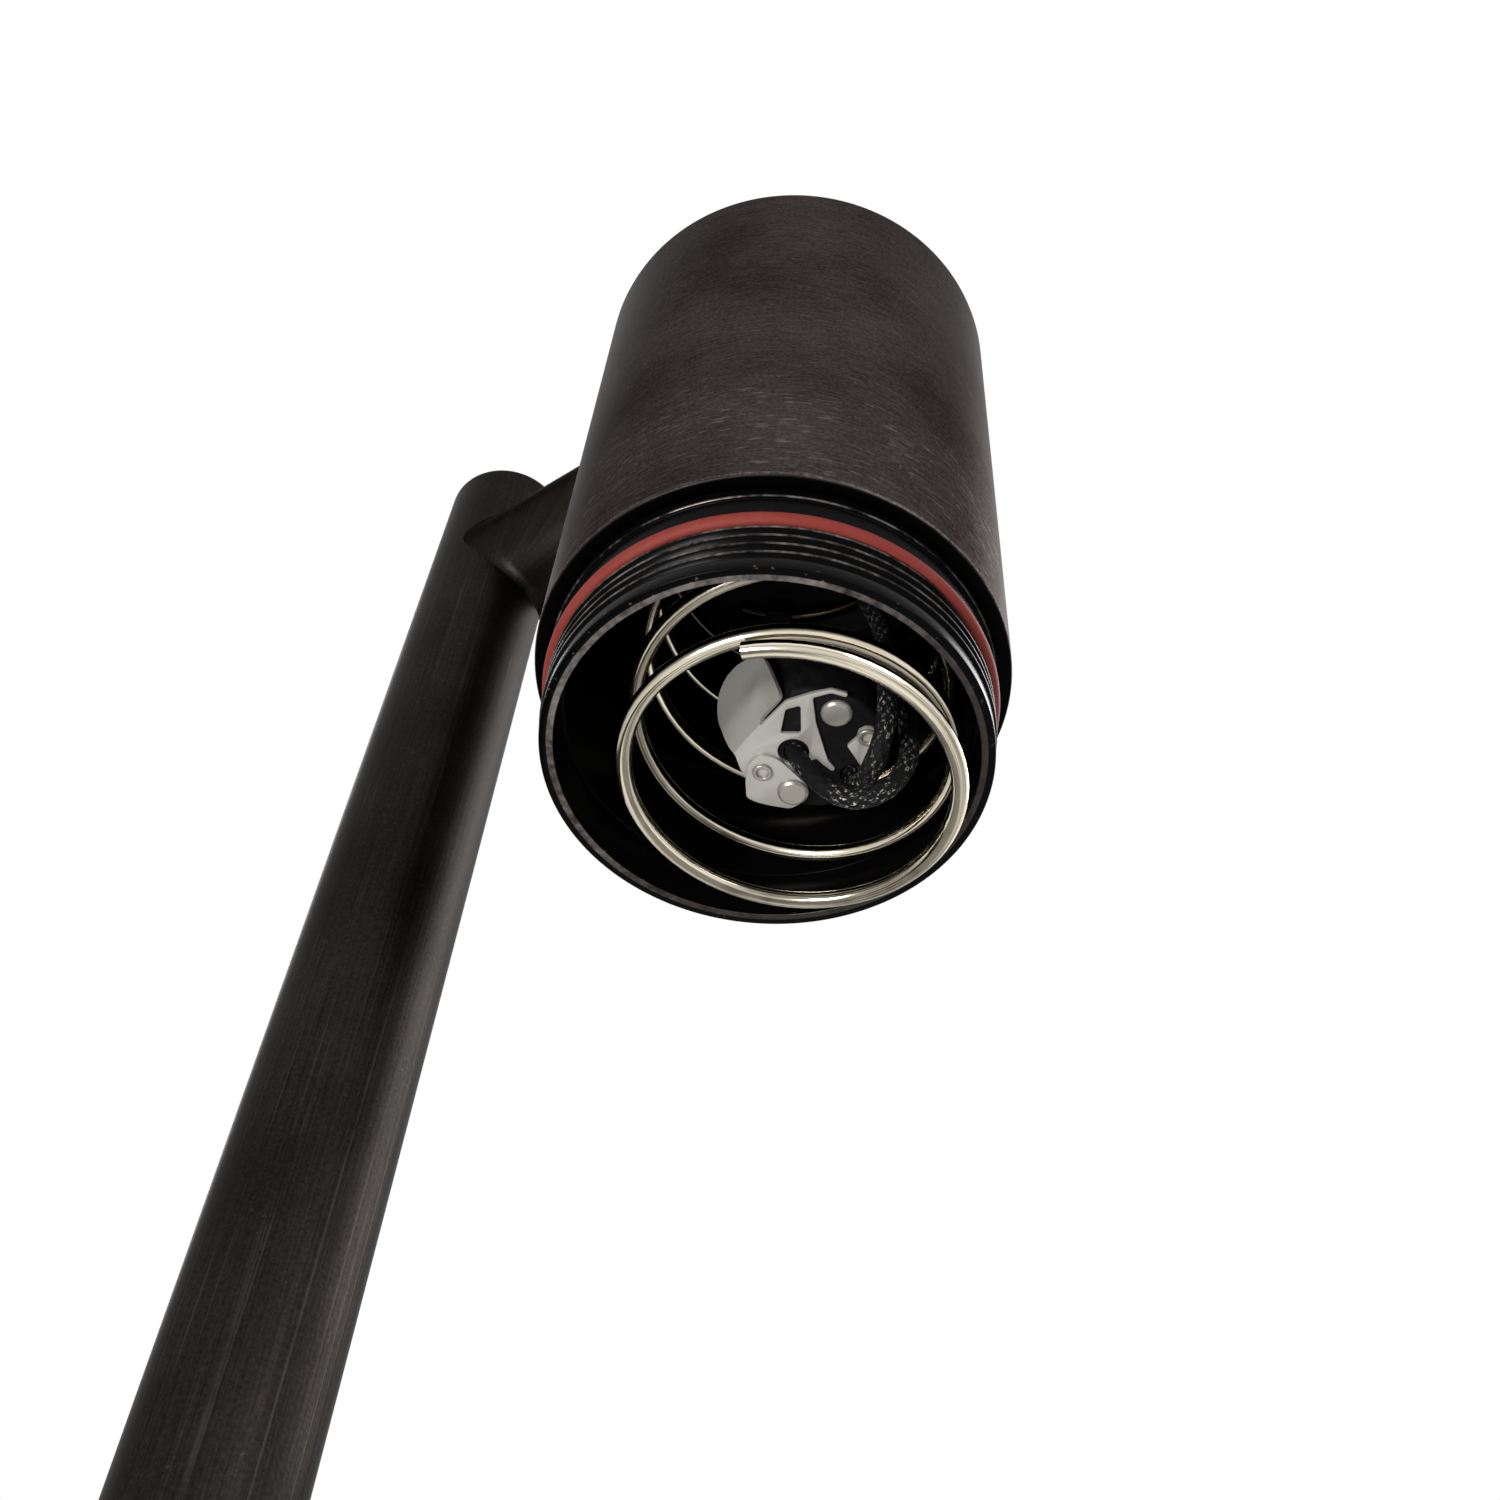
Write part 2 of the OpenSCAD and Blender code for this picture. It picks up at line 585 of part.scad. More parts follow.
// The bracket's foot: the plate along the fold with its window and port, the thin bar at the rim, and
// the rib with its narrow end
module foot_outline() {
    difference() {
        polygon([[-10.5, 1.5], [-7.35, -3.85], [-4.4, -8.1], [-1.2, -9.7], [1.4, -10.6], [3.6, -10.1],
            [3.4, -9.5], [1.4, -10], [-0.9, -9], [-0.2, -5], [1.2, -0.8], [1.9, 1.2], [3, 2.5], [2.6, 3],
            [1.2, 1.9], [0.3, 1], [-0.8, 1.8], [-1.9, 2.7], [-3.4, 4.4], [-5.8, 6], [-8.4, 5.6],
            [-9.6, 4]]);
        polygon([[-4.3, -6.8], [-4.7, -2.8], [-2, -3], [-2.4, -7.6]]);
        translate(port_at) circle(r = port_r);
    }
}
module left_tab() {
    polygon([[-8.9, 4.9], [-8.7, 2.6], [-7.8, 1.3], [-6.5, 0.7], [-5.2, 1], [-4.3, 1.5], [-1.6, 4.2],
        [-0.5, 5.4], [-0.4, 7.2], [-1.2, 8.6], [-2.6, 9.6], [-5.4, 9.3], [-7.2, 8.9], [-8.6, 8.2]]);
}
module right_tab() {
    polygon([[4.2, -1.5], [7.9, -2.3], [6.3, 1.7]]);
    translate([-rivet_at.x, -rivet_at.y]) circle(r = eyelet_r + tab_ring);
}
module terminal_tabs() {
    color([0.55, 0.54, 0.52]) {
        in_holder(holder_z - sheet_t) difference() {
            linear_extrude(sheet_t) left_tab();
            translate([rivet_at.x, rivet_at.y, -eps]) cylinder(r = eyelet_r + slip, h = sheet_t + 2 * eps);
            translate([disc_at.x, disc_at.y, -eps]) cylinder(r = shank_r + slip, h = sheet_t + 2 * eps);
        }
        in_holder(holder_z) difference() {
            linear_extrude(sheet_t) right_tab();
            translate([-rivet_at.x, -rivet_at.y, -eps])
                cylinder(r = eyelet_r + slip, h = sheet_t + 2 * eps);
        }
    }
}
module eyelet(at, low) {
    in_holder(0) translate([at.x, at.y, 0]) difference() {
        union() {
            disc(eyelet_r, cap_z + holder_cap_t - low, low);
            disc(eyelet_r + eyelet_lip, eyelet_lip_t, low - eyelet_lip_t);
            disc(eyelet_r + eyelet_lip, eyelet_lip_t, cap_z + holder_cap_t);
        }
        disc(eyelet_bore_r, cap_z + holder_cap_t - low + 2 * (eyelet_lip_t + eps), low - eyelet_lip_t - eps);
    }
}
module bracket_eyelets() {
    color([0.78, 0.77, 0.75]) {
        eyelet(rivet_at, holder_z - sheet_t);
        eyelet(-rivet_at, holder_z);
    }
}
module disc_rivet(at, low, shank) {
    in_holder(0) translate([at.x, at.y, 0]) {
        disc(disc_r, disc_h, low - disc_h);
        disc(shank_r, shank, low);
    }
}
module contact_rivets() {
    color([0.72, 0.72, 0.7]) {
        disc_rivet(disc_at, holder_z - sheet_t, sheet_t);
        disc_rivet(-disc_at, body_z, shank_l);
    }
}
module contact_clip(side) {
    color([0.72, 0.6, 0.35]) in_holder(body_z + clip_rise) translate([side * pin_pitch / 2, 0, 0]) {
        translate([-clip_w / 2, -clip_l / 2, 0]) cube([clip_w, clip_l, clip_t]);
        for (s = [-1, 1]) translate([-clip_w / 2, s * (clip_l - clip_t) / 2 - clip_t / 2, 0])
            cube([clip_w, clip_t, holder_t - clip_rise - clip_t]);
    }
}
module contact_clip_1() { contact_clip(-1); }
module contact_clip_2() { contact_clip(1); }

// ---- wiring ----
turned_side = [-sin(holder_turn), cos(holder_turn), 0];
module lampholder_lead(top, loop) {
    color([0.06, 0.06, 0.06])
        tube(concat([for (p = top) plate_pt(p)], [for (p = loop) head_pt(p)]), lead_d / 2, 8, turned_side);
}
module lead_1() { lampholder_lead(lead_1_top, lead_1_pts); }
module lead_2() { lampholder_lead(lead_2_top, lead_2_pts); }
module splice(foot) { color([0.35, 0.12, 0.1]) translate(foot) disc(splice_d / 2, splice_len, 0); }
module splice_1() { splice(plate_pt(lead_1_top[0])); }
module splice_2() { splice(plate_pt(lead_2_top[0])); }
module riser_lead(splice_foot, side) {
    x = splice_foot.x;
    y = side * riser_y;
    path = concat(
        [splice_foot + [0, 0, splice_len], splice_foot + [0, 0, splice_len + riser_straight]],
        [for (p = arc([x - splice_bend, arm_z - splice_bend], splice_bend, 20, 80, 3))
            [p.x, splice_foot.y, p.y]],
        [[head_x - 6, splice_foot.y - side, arm_z], [head_x - 16, y + side, arm_z],
            [head_x - 24, y, arm_z], [head_x - bore_r - 4, y, arm_z]],
        [for (p = arc([riser_bend, arm_z - riser_bend], riser_bend, 90, 180, 6)) [p.x, y, p.y]],
        [[0, y, nipple_low + plug_h + 4], [0, y, nipple_low - plug_flange_t]]);
    color([0.1, 0.1, 0.1]) tube(path, riser_d / 2, 8, [0, 1, 0.02]);
}
module riser_lead_1() { riser_lead(plate_pt(lead_1_top[0]), 1); }
module riser_lead_2() { riser_lead(plate_pt(lead_2_top[0]), -1); }

ground_stake();
stake_insert();
stem_nipple();
lock_nut();
cable_plug();
stem_tube();
stem_cap();
support_arm();
head_shell();
threaded_collar();
o_ring();
head_plate();
retaining_ring();
plate_grommet();
arm_grommet();
lamp_spring();
lampholder_body();
lampholder_cap();
lampholder_bracket();
terminal_tabs();
bracket_eyelets();
contact_rivets();
contact_clip_1();
contact_clip_2();
lead_1();
lead_2();
splice_1();
splice_2();
riser_lead_1();
riser_lead_2();
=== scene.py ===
import logging
import math
from collections.abc import Callable, Sequence
from dataclasses import dataclass, field
from enum import Enum

import bmesh
import bpy
from mathutils import Matrix, Vector


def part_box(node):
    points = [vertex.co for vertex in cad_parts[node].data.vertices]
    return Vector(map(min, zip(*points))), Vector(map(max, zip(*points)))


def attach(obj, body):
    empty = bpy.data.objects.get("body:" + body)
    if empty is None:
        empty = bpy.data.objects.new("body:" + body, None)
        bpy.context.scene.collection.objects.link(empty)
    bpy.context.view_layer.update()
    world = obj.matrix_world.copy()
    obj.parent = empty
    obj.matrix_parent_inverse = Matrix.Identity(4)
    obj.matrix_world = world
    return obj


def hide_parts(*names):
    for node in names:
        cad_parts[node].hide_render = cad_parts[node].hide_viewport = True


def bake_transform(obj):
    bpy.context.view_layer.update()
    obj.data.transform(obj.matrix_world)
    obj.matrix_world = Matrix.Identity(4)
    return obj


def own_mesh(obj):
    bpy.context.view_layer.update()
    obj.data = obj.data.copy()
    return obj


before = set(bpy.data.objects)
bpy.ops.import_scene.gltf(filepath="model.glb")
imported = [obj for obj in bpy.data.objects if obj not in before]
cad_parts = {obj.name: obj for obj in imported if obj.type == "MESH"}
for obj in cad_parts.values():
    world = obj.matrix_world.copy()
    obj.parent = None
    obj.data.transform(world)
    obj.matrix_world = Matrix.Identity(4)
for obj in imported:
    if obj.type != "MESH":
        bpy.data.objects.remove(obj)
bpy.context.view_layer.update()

MM = 0.001
SAME_SPOT = 1e-7
SAME_LEVEL = 1e-9
log = logging.getLogger("garden_light")
Point = tuple[float, float, float]
Outline = Sequence[tuple[float, ...]]
Mesh = bmesh.types.BMesh


# ---- shader maths ----
class Value:
    """A number or vector socket in a shader, with arithmetic on numbers."""

    def __init__(self, shader: "Shader", socket: bpy.types.NodeSocket) -> None:
        """Keeps the socket and the shader that it belongs to."""
        self.shader, self.socket = shader, socket

    def maths(self, operation: str, first: "Number", second: "Number | None" = None) -> "Value":
        """Adds one Math node and gives back its result."""
        numbers = {0: first} if second is None else {0: first, 1: second}
        return self.shader.node("ShaderNodeMath", {"operation": operation}, numbers)

    def __add__(self, other: "Number") -> "Value":
        """The sum."""
        return self.maths("ADD", self, other)

    def __sub__(self, other: "Number") -> "Value":
        """The difference."""
        return self.maths("SUBTRACT", self, other)

    def __rsub__(self, other: "Number") -> "Value":
        """The difference from a plain number."""
        return self.maths("SUBTRACT", other, self)

    def __mul__(self, other: "Number") -> "Value":
        """The product."""
        return self.maths("MULTIPLY", self, other)

    def __pow__(self, other: "Number") -> "Value":
        """The power."""
        return self.maths("POWER", self, other)

    __radd__ = __add__
    __rmul__ = __mul__

    def wave(self) -> "Value":
        """The sine, in radians."""
        return self.maths("SINE", self)

    def size(self) -> "Value":
        """The absolute value."""
        return self.maths("ABSOLUTE", self)

    def ramp(self, low: float, high: float, start: float = 0.0, end: float = 1.0) -> "Value":
        """Maps low to start and high to end, smoothly and held at both."""
        inputs = {"Value": self, "From Min": low, "From Max": high, "To Min": start, "To Max": end}
        return self.shader.node("ShaderNodeMapRange", {"interpolation_type": "SMOOTHSTEP"}, inputs)


Number = Value | float
Colour = tuple[float, float, float]


class Shader:
    """The nodes of a material, or of the world, under construction."""

    def __init__(self, name: str, world: bool = False) -> None:
        """Starts an empty tree.

        Args:
            name: what the material, or the world, is called.
            world: makes a world.
        """
        self.owner = (bpy.data.worlds if world else bpy.data.materials).new(name)
        self.owner.use_nodes = True
        self.tree = self.owner.node_tree
        self.tree.nodes.clear()
        self.output = self.tree.nodes.new("ShaderNodeOutputWorld" if world else "ShaderNodeOutputMaterial")

    def node(self, kind: str, settings: dict | None = None, inputs: dict | None = None,
             out: int = 0) -> Value:
        """Adds a node of any kind.

        Args:
            kind: the node's type.
            settings: its properties, set before its sockets.
            inputs: values or links by socket name, number or identifier.
            out: which output to return.
        Returns:
            The output as a Value.
        """
        made = self.tree.nodes.new(kind)
        for key, value in (settings or {}).items():
            setattr(made, key, value)
        for key, value in (inputs or {}).items():
            socket = made.inputs[key] if isinstance(key, int) else next(
                s for s in made.inputs if key in (s.identifier, s.name))
            if isinstance(value, Value):
                self.tree.links.new(value.socket, socket)
            elif isinstance(value, tuple) and socket.type == "RGBA":
                socket.default_value = (*value, 1.0)
            else:
                socket.default_value = value
        return Value(self, made.outputs[out])

    def place(self, offset: Point = (0, 0, 0), scale: Point = (1, 1, 1)) -> Value:
        """The point on the piece, moved by offset and then scaled, in metres."""
        point = self.node("ShaderNodeTexCoord", out=3)
        moved = self.node("ShaderNodeVectorMath", {"operation": "ADD"}, {0: point, 1: offset})
        return self.node("ShaderNodeVectorMath", {"operation": "MULTIPLY"}, {0: moved, 1: scale})

    def parts(self, vector: Value) -> tuple[Value, Value, Value]:
        """The three numbers of a vector."""
        split = self.node("ShaderNodeSeparateXYZ", inputs={0: vector})
        return tuple(Value(self, s) for s in split.socket.node.outputs)

    def on_axis(self, centre: Point) -> tuple[Value, Value, Value, Value, Value]:
        """The point from an upright axis through centre, its three numbers and its turn round the axis."""
        point = self.place(tuple(-c for c in centre))
        x, y, z = self.parts(point)
        return point, x, y, z, x.maths("ARCTAN2", y, x)

    def vector(self, x: Number, y: Number, z: Number) -> Value:
        """A vector of three numbers."""
        return self.node("ShaderNodeCombineXYZ", inputs={0: x, 1: y, 2: z})

    def noise(self, at: Value, scale: float, detail: float = 3.0, roughness: float = 0.5) -> Value:
        """Noise from 0 to 1, scale cells to a unit of at."""
        return self.node("ShaderNodeTexNoise", inputs={
            "Vector": at, "Scale": scale, "Detail": detail, "Roughness": roughness})

    def blend(self, share: Number, first: "Colour | Value", second: "Colour | Value") -> Value:
        """A colour between first, at share 0, and second, at share 1."""
        return self.node("ShaderNodeMix", {"data_type": "RGBA"}, {
            "Factor_Float": share, "A_Color": first, "B_Color": second}, out=2)

    def bump(self, height: Value, depth: float, strength: float = 1.0) -> Value:
        """A normal from a height of 0 to 1 that stands for depth, in metres."""
        return self.node("ShaderNodeBump", inputs={
            "Height": height, "Distance": depth, "Strength": strength})

    def close(self, surface: Value) -> bpy.types.ID:
        """Links the surface to the output, and gives back the material or the world."""
        self.tree.links.new(surface.socket, self.output.inputs["Surface"])
        return self.owner

    def finish(self, inputs: dict) -> bpy.types.Material:
        """Closes the material with a Principled shader that has these inputs."""
        return self.close(self.node("ShaderNodeBsdfPrincipled", inputs=inputs))


# ---- finishes ----
class Brushed(Enum):
    """Which way fine scratches run on a turned piece."""

    AROUND = "around"
    ALONG = "along"


@dataclass(frozen=True)
class Bronze:
    """Dark patinated bronze with fine brushing, soft clouds of tone and a few longer scratches, and a
    painted band of shade on the lower face next to the collar.
    """

    name: str
    dark: Colour
    light: Colour
    way: Brushed
    centre: Point = (0.0, 0.0, 0.0)
    roughness: float = 0.44
    grain: float = 1.0
    scratched: tuple[float, float] = (0.0, 1.0)
    worn_edge: float = -9.0
    bore: float = 0.0
    edge_tint: float = 0.38

    def material(self) -> bpy.types.Material:
        """Builds the bronze."""
        s = Shader(self.name)
        point, x, y, z, turn = s.on_axis(self.centre)
        if self.way is Brushed.AROUND:
            fine = s.noise(s.vector(turn * 7.0, z * 2600.0, 0.0), 1.0, 4.0, 0.6)
            lines = s.noise(s.vector(turn * 11.0, z * 1500.0, 4.0), 1.0, 2.0, 0.4)
        else:
            fine = s.noise(s.vector(turn * 34.0, z * 24.0, 0.0), 1.0, 4.0, 0.6)
            lines = s.noise(s.vector(turn * 22.0, z * 9.0, 4.0), 1.0, 2.0, 0.4)
        clouds, grit = s.noise(point, 38.0, 3.0, 0.55), s.noise(point, 1900.0, 3.0, 0.65)
        specks = s.noise(point, 1300.0, 2.0, 0.6).ramp(0.70, 0.76)
        low, high = self.scratched
        worn = lines.ramp(0.60, 0.70) * z.ramp(low, high, 1.0, 0.0) * clouds.ramp(0.38, 0.58)
        rubbed = (z - self.worn_edge).size().ramp(0.05 * MM, 0.26 * MM, 1.0, 0.0) * (
            grit * 0.6 + clouds * 0.6).ramp(0.48, 0.76, 0.08, 0.8)
        tone = ((fine - 0.5) * 0.9 + (grit - 0.5) * 0.9 + worn * 0.8) * self.grain + (
            clouds - 0.5) * 0.8 + 0.42 + specks * 0.5
        colour = s.blend(tone.ramp(0.0, 1.25), self.dark, self.light)
        # painted shade: a near-black band on the head's lower face, just below its rubbed edge and outside
        # the bore, where the recess by the collar lies in shade
        painted_shade = z.ramp(self.worn_edge - 0.45 * MM, self.worn_edge - 0.25 * MM)
        outside = (x * x + y * y).ramp(self.bore**2, (self.bore + 0.2 * MM) ** 2)
        colour = s.blend(painted_shade * outside, (0.003, 0.003, 0.003), colour)
        height = fine * 0.5 + grit * 0.4 + lines.ramp(0.6, 0.75) * 0.5 + specks * 0.3
        return s.finish({
            "Base Color": s.blend(rubbed, colour, (0.20, 0.175, 0.16)),
            "Metallic": 1.0,
            "Roughness": (fine - 0.5) * 0.10 + (clouds - 0.5) * 0.12 + self.roughness,
            "Specular Tint": (self.edge_tint,) * 3,
            "Normal": s.bump(height, 0.02 * MM * self.grain, 0.6),
        })


@dataclass(frozen=True)
class BlackTurned:
    """Glossy black turned metal, rubbed bare at its open end and along its thread's crests."""

    name: str
    rim_z: float
    rim_depth: float
    centre: Point
    crest_r: float = 29.6 * MM
    crest_top: float = 9.4 * MM
    flange_r: float = 30.2 * MM
    flange_z: float = 15.1 * MM
    face_r: float = 28.2 * MM

    def material(self) -> bpy.types.Material:
        """Builds the blackened metal."""
        s = Shader(self.name)
        point, x, y, z, turn = s.on_axis(self.centre)
        reach = (x * x + y * y) ** 0.5
        rings = s.noise(s.vector(turn * 1.5, z * 5200.0, 0.0), 1.0, 3.0, 0.6)
        clouds = s.noise(point, 160.0, 3.0, 0.6)
        dents = s.noise(point, 900.0, 2.0, 0.5)
        height = z - (self.rim_z - self.centre[2])
        side = (y * -0.95 - x * 0.25).ramp(-14 * MM, 18 * MM, 0.15, 1.0)
        bare = height.ramp(self.rim_depth * 0.3, self.rim_depth, 1.0, 0.0) * reach.ramp(
            self.face_r, self.face_r + 0.2 * MM, 1.0, 0.0)
        rub = (dents + clouds * 0.5).ramp(0.90, 1.02) * height.ramp(0.2 * MM, 0.9 * MM, 0.4, 0.0)
        crest = reach.ramp(self.crest_r - 0.1 * MM, self.crest_r - 0.03 * MM) * height.ramp(
            self.crest_top, self.crest_top + 0.2 * MM, 1.0, 0.0) * (
                clouds + dents * 0.4).ramp(0.5, 0.9, 0.08, 0.45)
        flange = (height - self.flange_z).size().ramp(0.05 * MM, 0.3 * MM, 1.0, 0.0) * reach.ramp(
            self.flange_r - 0.3 * MM, self.flange_r - 0.1 * MM) * (clouds + dents * 0.4).ramp(0.55, 0.85)
        share = (bare + rub + crest + flange * 0.5).ramp(0.0, 1.0)
        mottle = (clouds * 0.6 + dents * 0.5).ramp(0.35, 0.8) * side + crest * 0.3 + flange * 0.2
        grey = s.blend(mottle, (0.026, 0.021, 0.019), (0.24, 0.215, 0.20))
        return s.finish({
            "Base Color": s.blend(share, (0.0012, 0.0011, 0.0011), grey),
            "Metallic": share * 0.9,
            "Roughness": share * 0.22 + (rings - 0.5) * 0.06 + 0.22,
            "IOR": 1.11,
            "Normal": s.bump(rings * 0.5 + dents * share, 0.02 * MM, 0.7),
        })


@dataclass(frozen=True)
class Rubbery:
    """Silicone, rubber or moulded plastic: an even colour with dust and a slight texture."""

    name: str
    colour: Colour
    dusty: Colour
    roughness: float = 0.5
    texture: float = 900.0
    depth: float = 0.02 * MM
    gloss: float = 0.4

    def material(self) -> bpy.types.Material:
        """Builds the rubber or plastic."""
        s = Shader(self.name)
        point = s.place()
        clouds, grit = s.noise(point, 90.0, 4.0, 0.6), s.noise(point, self.texture, 3.0, 0.6)
        share = (clouds * 0.7 + grit * 0.5).ramp(0.45, 0.95)
        return s.finish({
            "Base Color": s.blend(share, self.colour, self.dusty),
            "Roughness": (grit - 0.5) * 0.16 + self.roughness,
            "Specular IOR Level": self.gloss,
            "Normal": s.bump(grit, self.depth, 0.7),
        })


@dataclass(frozen=True)
class BrightMetal:
    """Wire, sheet or plated metal with a drawn or rolled grain and light stains; on its own map the grain
    adds painted dark reflection streaks along the wire, and it can get a painted shade that darkens it
    upwards.
    """

    name: str
    colour: Colour
    stain_and_dark_reflection: Colour
    roughness: float
    grain_scale: Point = (300.0, 300.0, 300.0)
    stain_scale: float = 120.0
    stain_and_reflection_amount: float = 0.5
    on_uv: bool = False
    metal: float = 1.0
    painted_shade_heights: tuple[float, float] | None = None

    def material(self) -> bpy.types.Material:
        """Builds the metal."""
        s = Shader(self.name)
        point = s.place()
        flat = s.node("ShaderNodeTexCoord", out=2) if self.on_uv else point
        grain_at = s.node("ShaderNodeVectorMath", {"operation": "MULTIPLY"}, {0: flat, 1: self.grain_scale})
        grain = s.noise(grain_at, 1.0, 3.0, 0.6)
        clouds = s.noise(point, self.stain_scale, 4.0, 0.6)
        # on its own map the grain gives painted dark reflection streaks along the wire; otherwise the clouds
        # give light stains
        stain_and_reflection_streaks = grain.ramp(0.43, 0.55) if self.on_uv else clouds.ramp(0.42, 0.72)
        share = (stain_and_reflection_streaks * 0.8 + clouds.ramp(0.45, 0.75) * 0.2) * self.stain_and_reflection_amount
        # painted shade: the colour goes to the dark stain colour upwards between the two heights, deep in
        # the head
        if self.painted_shade_heights is not None:
            share = share + s.parts(point)[2].ramp(*self.painted_shade_heights)
        return s.finish({
            "Base Color": s.blend(share, self.colour, self.stain_and_dark_reflection),
            "Metallic": self.metal,
            "Roughness": (grain - 0.5) * 0.10 + (clouds - 0.5) * 0.08 + self.roughness,
            "Normal": s.bump(grain, 0.004 * MM, 0.8),
        })


@dataclass(frozen=True)
class Braid:
    """Black woven sleeve: two sets of strands that pass over each other, with painted glints as pale specks
    on the raised strands.
    """

    name: str
    strands: int = 7
    slope: float = 0.55

    def material(self) -> bpy.types.Material:
        """Builds the braid on the piece's own map, one unit of which is one turn round the cord."""
        s = Shader(self.name)
        u, v, _ = s.parts(s.node("ShaderNodeTexCoord", out=2))
        left = (u * self.strands + v * (self.strands * self.slope)) * math.tau
        right = (u * self.strands - v * (self.strands * self.slope)) * math.tau
        height = left.wave() * 0.25 + right.wave() * 0.25 + 0.5
        thread = s.noise(s.vector(u * 60.0, v * 60.0, 0.0), 1.0, 4.0, 0.7)
        glint_specks = s.noise(s.vector(u * 34.0, v * 20.0, 7.0), 1.0, 3.0, 0.7)
        patch = s.noise(s.vector(u * 2.0, v * 1.2, 2.0), 1.0, 2.0, 0.5)
        # painted glints: pale specks where the strands stand highest, in patches
        pale = glint_specks.ramp(0.52, 0.61) * height.ramp(0.45, 0.7) * patch.ramp(0.42, 0.58)
        dark = s.blend(thread.ramp(0.3, 0.8), (0.0015, 0.0015, 0.0016), (0.007, 0.0065, 0.0065))
        return s.finish({
            "Base Color": s.blend(pale, dark, (0.38, 0.37, 0.355)),
            "Roughness": thread * 0.2 + 0.6,
            "Specular IOR Level": 0.1,
            "Normal": s.bump(height * 0.7 + thread * 0.3, 0.12 * MM, 0.8),
        })


class Finishes:
    """The finishes of this light, each built once."""

    def __init__(self, head_centre: Point, rim_z: float) -> None:
        """Names every finish.

        Args:
            head_centre: a point on the head's axis at the ground.
            rim_z: the height of the collar's open rim.
        """
        bronze_dark, bronze_light = (0.030, 0.0245, 0.024), (0.115, 0.099, 0.096)
        stem_dark, stem_light = (0.0085, 0.0074, 0.0068), (0.036, 0.031, 0.028)
        recipes = (
            Bronze("bronze_head", bronze_dark, bronze_light, Brushed.AROUND, head_centre, 0.42, 1.0,
                   (rim_z + 26 * MM, rim_z + 58 * MM), rim_z + 17.1 * MM, 30 * MM),
            Bronze("bronze_arm", stem_dark, stem_light, Brushed.ALONG, roughness=0.46, grain=0.6),
            Bronze("bronze_stem", stem_dark, stem_light, Brushed.ALONG, roughness=0.44, edge_tint=0.58),
            BlackTurned("black_collar", rim_z, 0.15 * MM, head_centre),
            Rubbery("red_silicone", (0.13, 0.011, 0.0065), (0.15, 0.026, 0.018), 0.65, gloss=0.25),
            Rubbery("black_rubber", (0.010, 0.010, 0.010), (0.03, 0.03, 0.03), 0.6),
            Rubbery("black_plate", (0.006, 0.006, 0.006), (0.016, 0.015, 0.014), 0.5),
            Rubbery("stake_plastic", (0.012, 0.012, 0.012), (0.035, 0.034, 0.032), 0.52, 420.0, 0.06 * MM),
            Rubbery("riser_sheath", (0.012, 0.012, 0.012), (0.03, 0.03, 0.03), 0.45),
            Rubbery("red_splice", (0.35, 0.02, 0.015), (0.42, 0.05, 0.03), 0.3),
            Rubbery("black_ceramic", (0.003, 0.003, 0.003), (0.012, 0.011, 0.011), 0.6, 700.0, 0.05 * MM,
                    0.06),
            BrightMetal("spring_steel", (0.035, 0.034, 0.033), (0.02, 0.019, 0.018), 0.5),
            # the wire's dark streaks are painted reflections, and its darkening from 40 to 55 mm over the
            # rim is painted shade
            BrightMetal("bright_wire", (0.88, 0.80, 0.64), (0.035, 0.025, 0.016), 0.13, (5.0, 0.10, 1.0),
                        90.0, 0.95, True, painted_shade_heights=(rim_z + 40 * MM, rim_z + 55 * MM)),
            BrightMetal("bracket_steel", (0.33, 0.32, 0.29), (0.21, 0.20, 0.17), 0.34,
                        (900.0, 120.0, 900.0), metal=0.35),
            BrightMetal("bright_rivet", (0.28, 0.265, 0.235), (0.16, 0.15, 0.13), 0.3, metal=0.6),
            BrightMetal("plain_brass", (0.56, 0.40, 0.17), (0.30, 0.19, 0.08), 0.35),
            Braid("black_sleeve"),
        )
        self.recipes = {recipe.name: recipe for recipe in recipes}
        self.made: dict[str, bpy.types.Material] = {}

    def get(self, name: str) -> bpy.types.Material:
        """The material called name."""
        if name not in self.made:
            self.made[name] = self.recipes[name].material()
        return self.made[name]


# ---- mesh tools ----
def outward(mesh: Mesh) -> Mesh:
    """Turns every face outward, and gives back the mesh."""
    bmesh.ops.recalc_face_normals(mesh, faces=list(mesh.faces))
    return mesh


def rod(radius: float, length: float, sides: int) -> Mesh:
    """A closed cylinder about the Z axis, with its middle at the origin."""
    mesh = bmesh.new()
    bmesh.ops.create_cone(mesh, segments=sides, radius1=radius, radius2=radius, depth=length, cap_ends=True)
    return mesh


def spun(mesh: Mesh, steps: int) -> Mesh:
    """Spins an outline once round the Z axis.

    Args:
        mesh: the outline.
        steps: the facets round the skin.
    Returns:
        The same mesh, closed.
    """
    bmesh.ops.spin(mesh, geom=list(mesh.verts) + list(mesh.edges), axis=(0, 0, 1), angle=math.tau,
                   steps=steps, use_merge=True)
    bmesh.ops.remove_doubles(mesh, verts=list(mesh.verts), dist=SAME_SPOT)
    return outward(mesh)


def thickened(mesh: Mesh, thickness: float) -> Mesh:
    """Gives a flat mesh a thickness along +Z."""
    raised = bmesh.ops.extrude_face_region(mesh, geom=list(mesh.faces))["geom"]
    bmesh.ops.translate(mesh, vec=(0, 0, thickness),
                        verts=[g for g in raised if isinstance(g, bmesh.types.BMVert)])
    return outward(mesh)


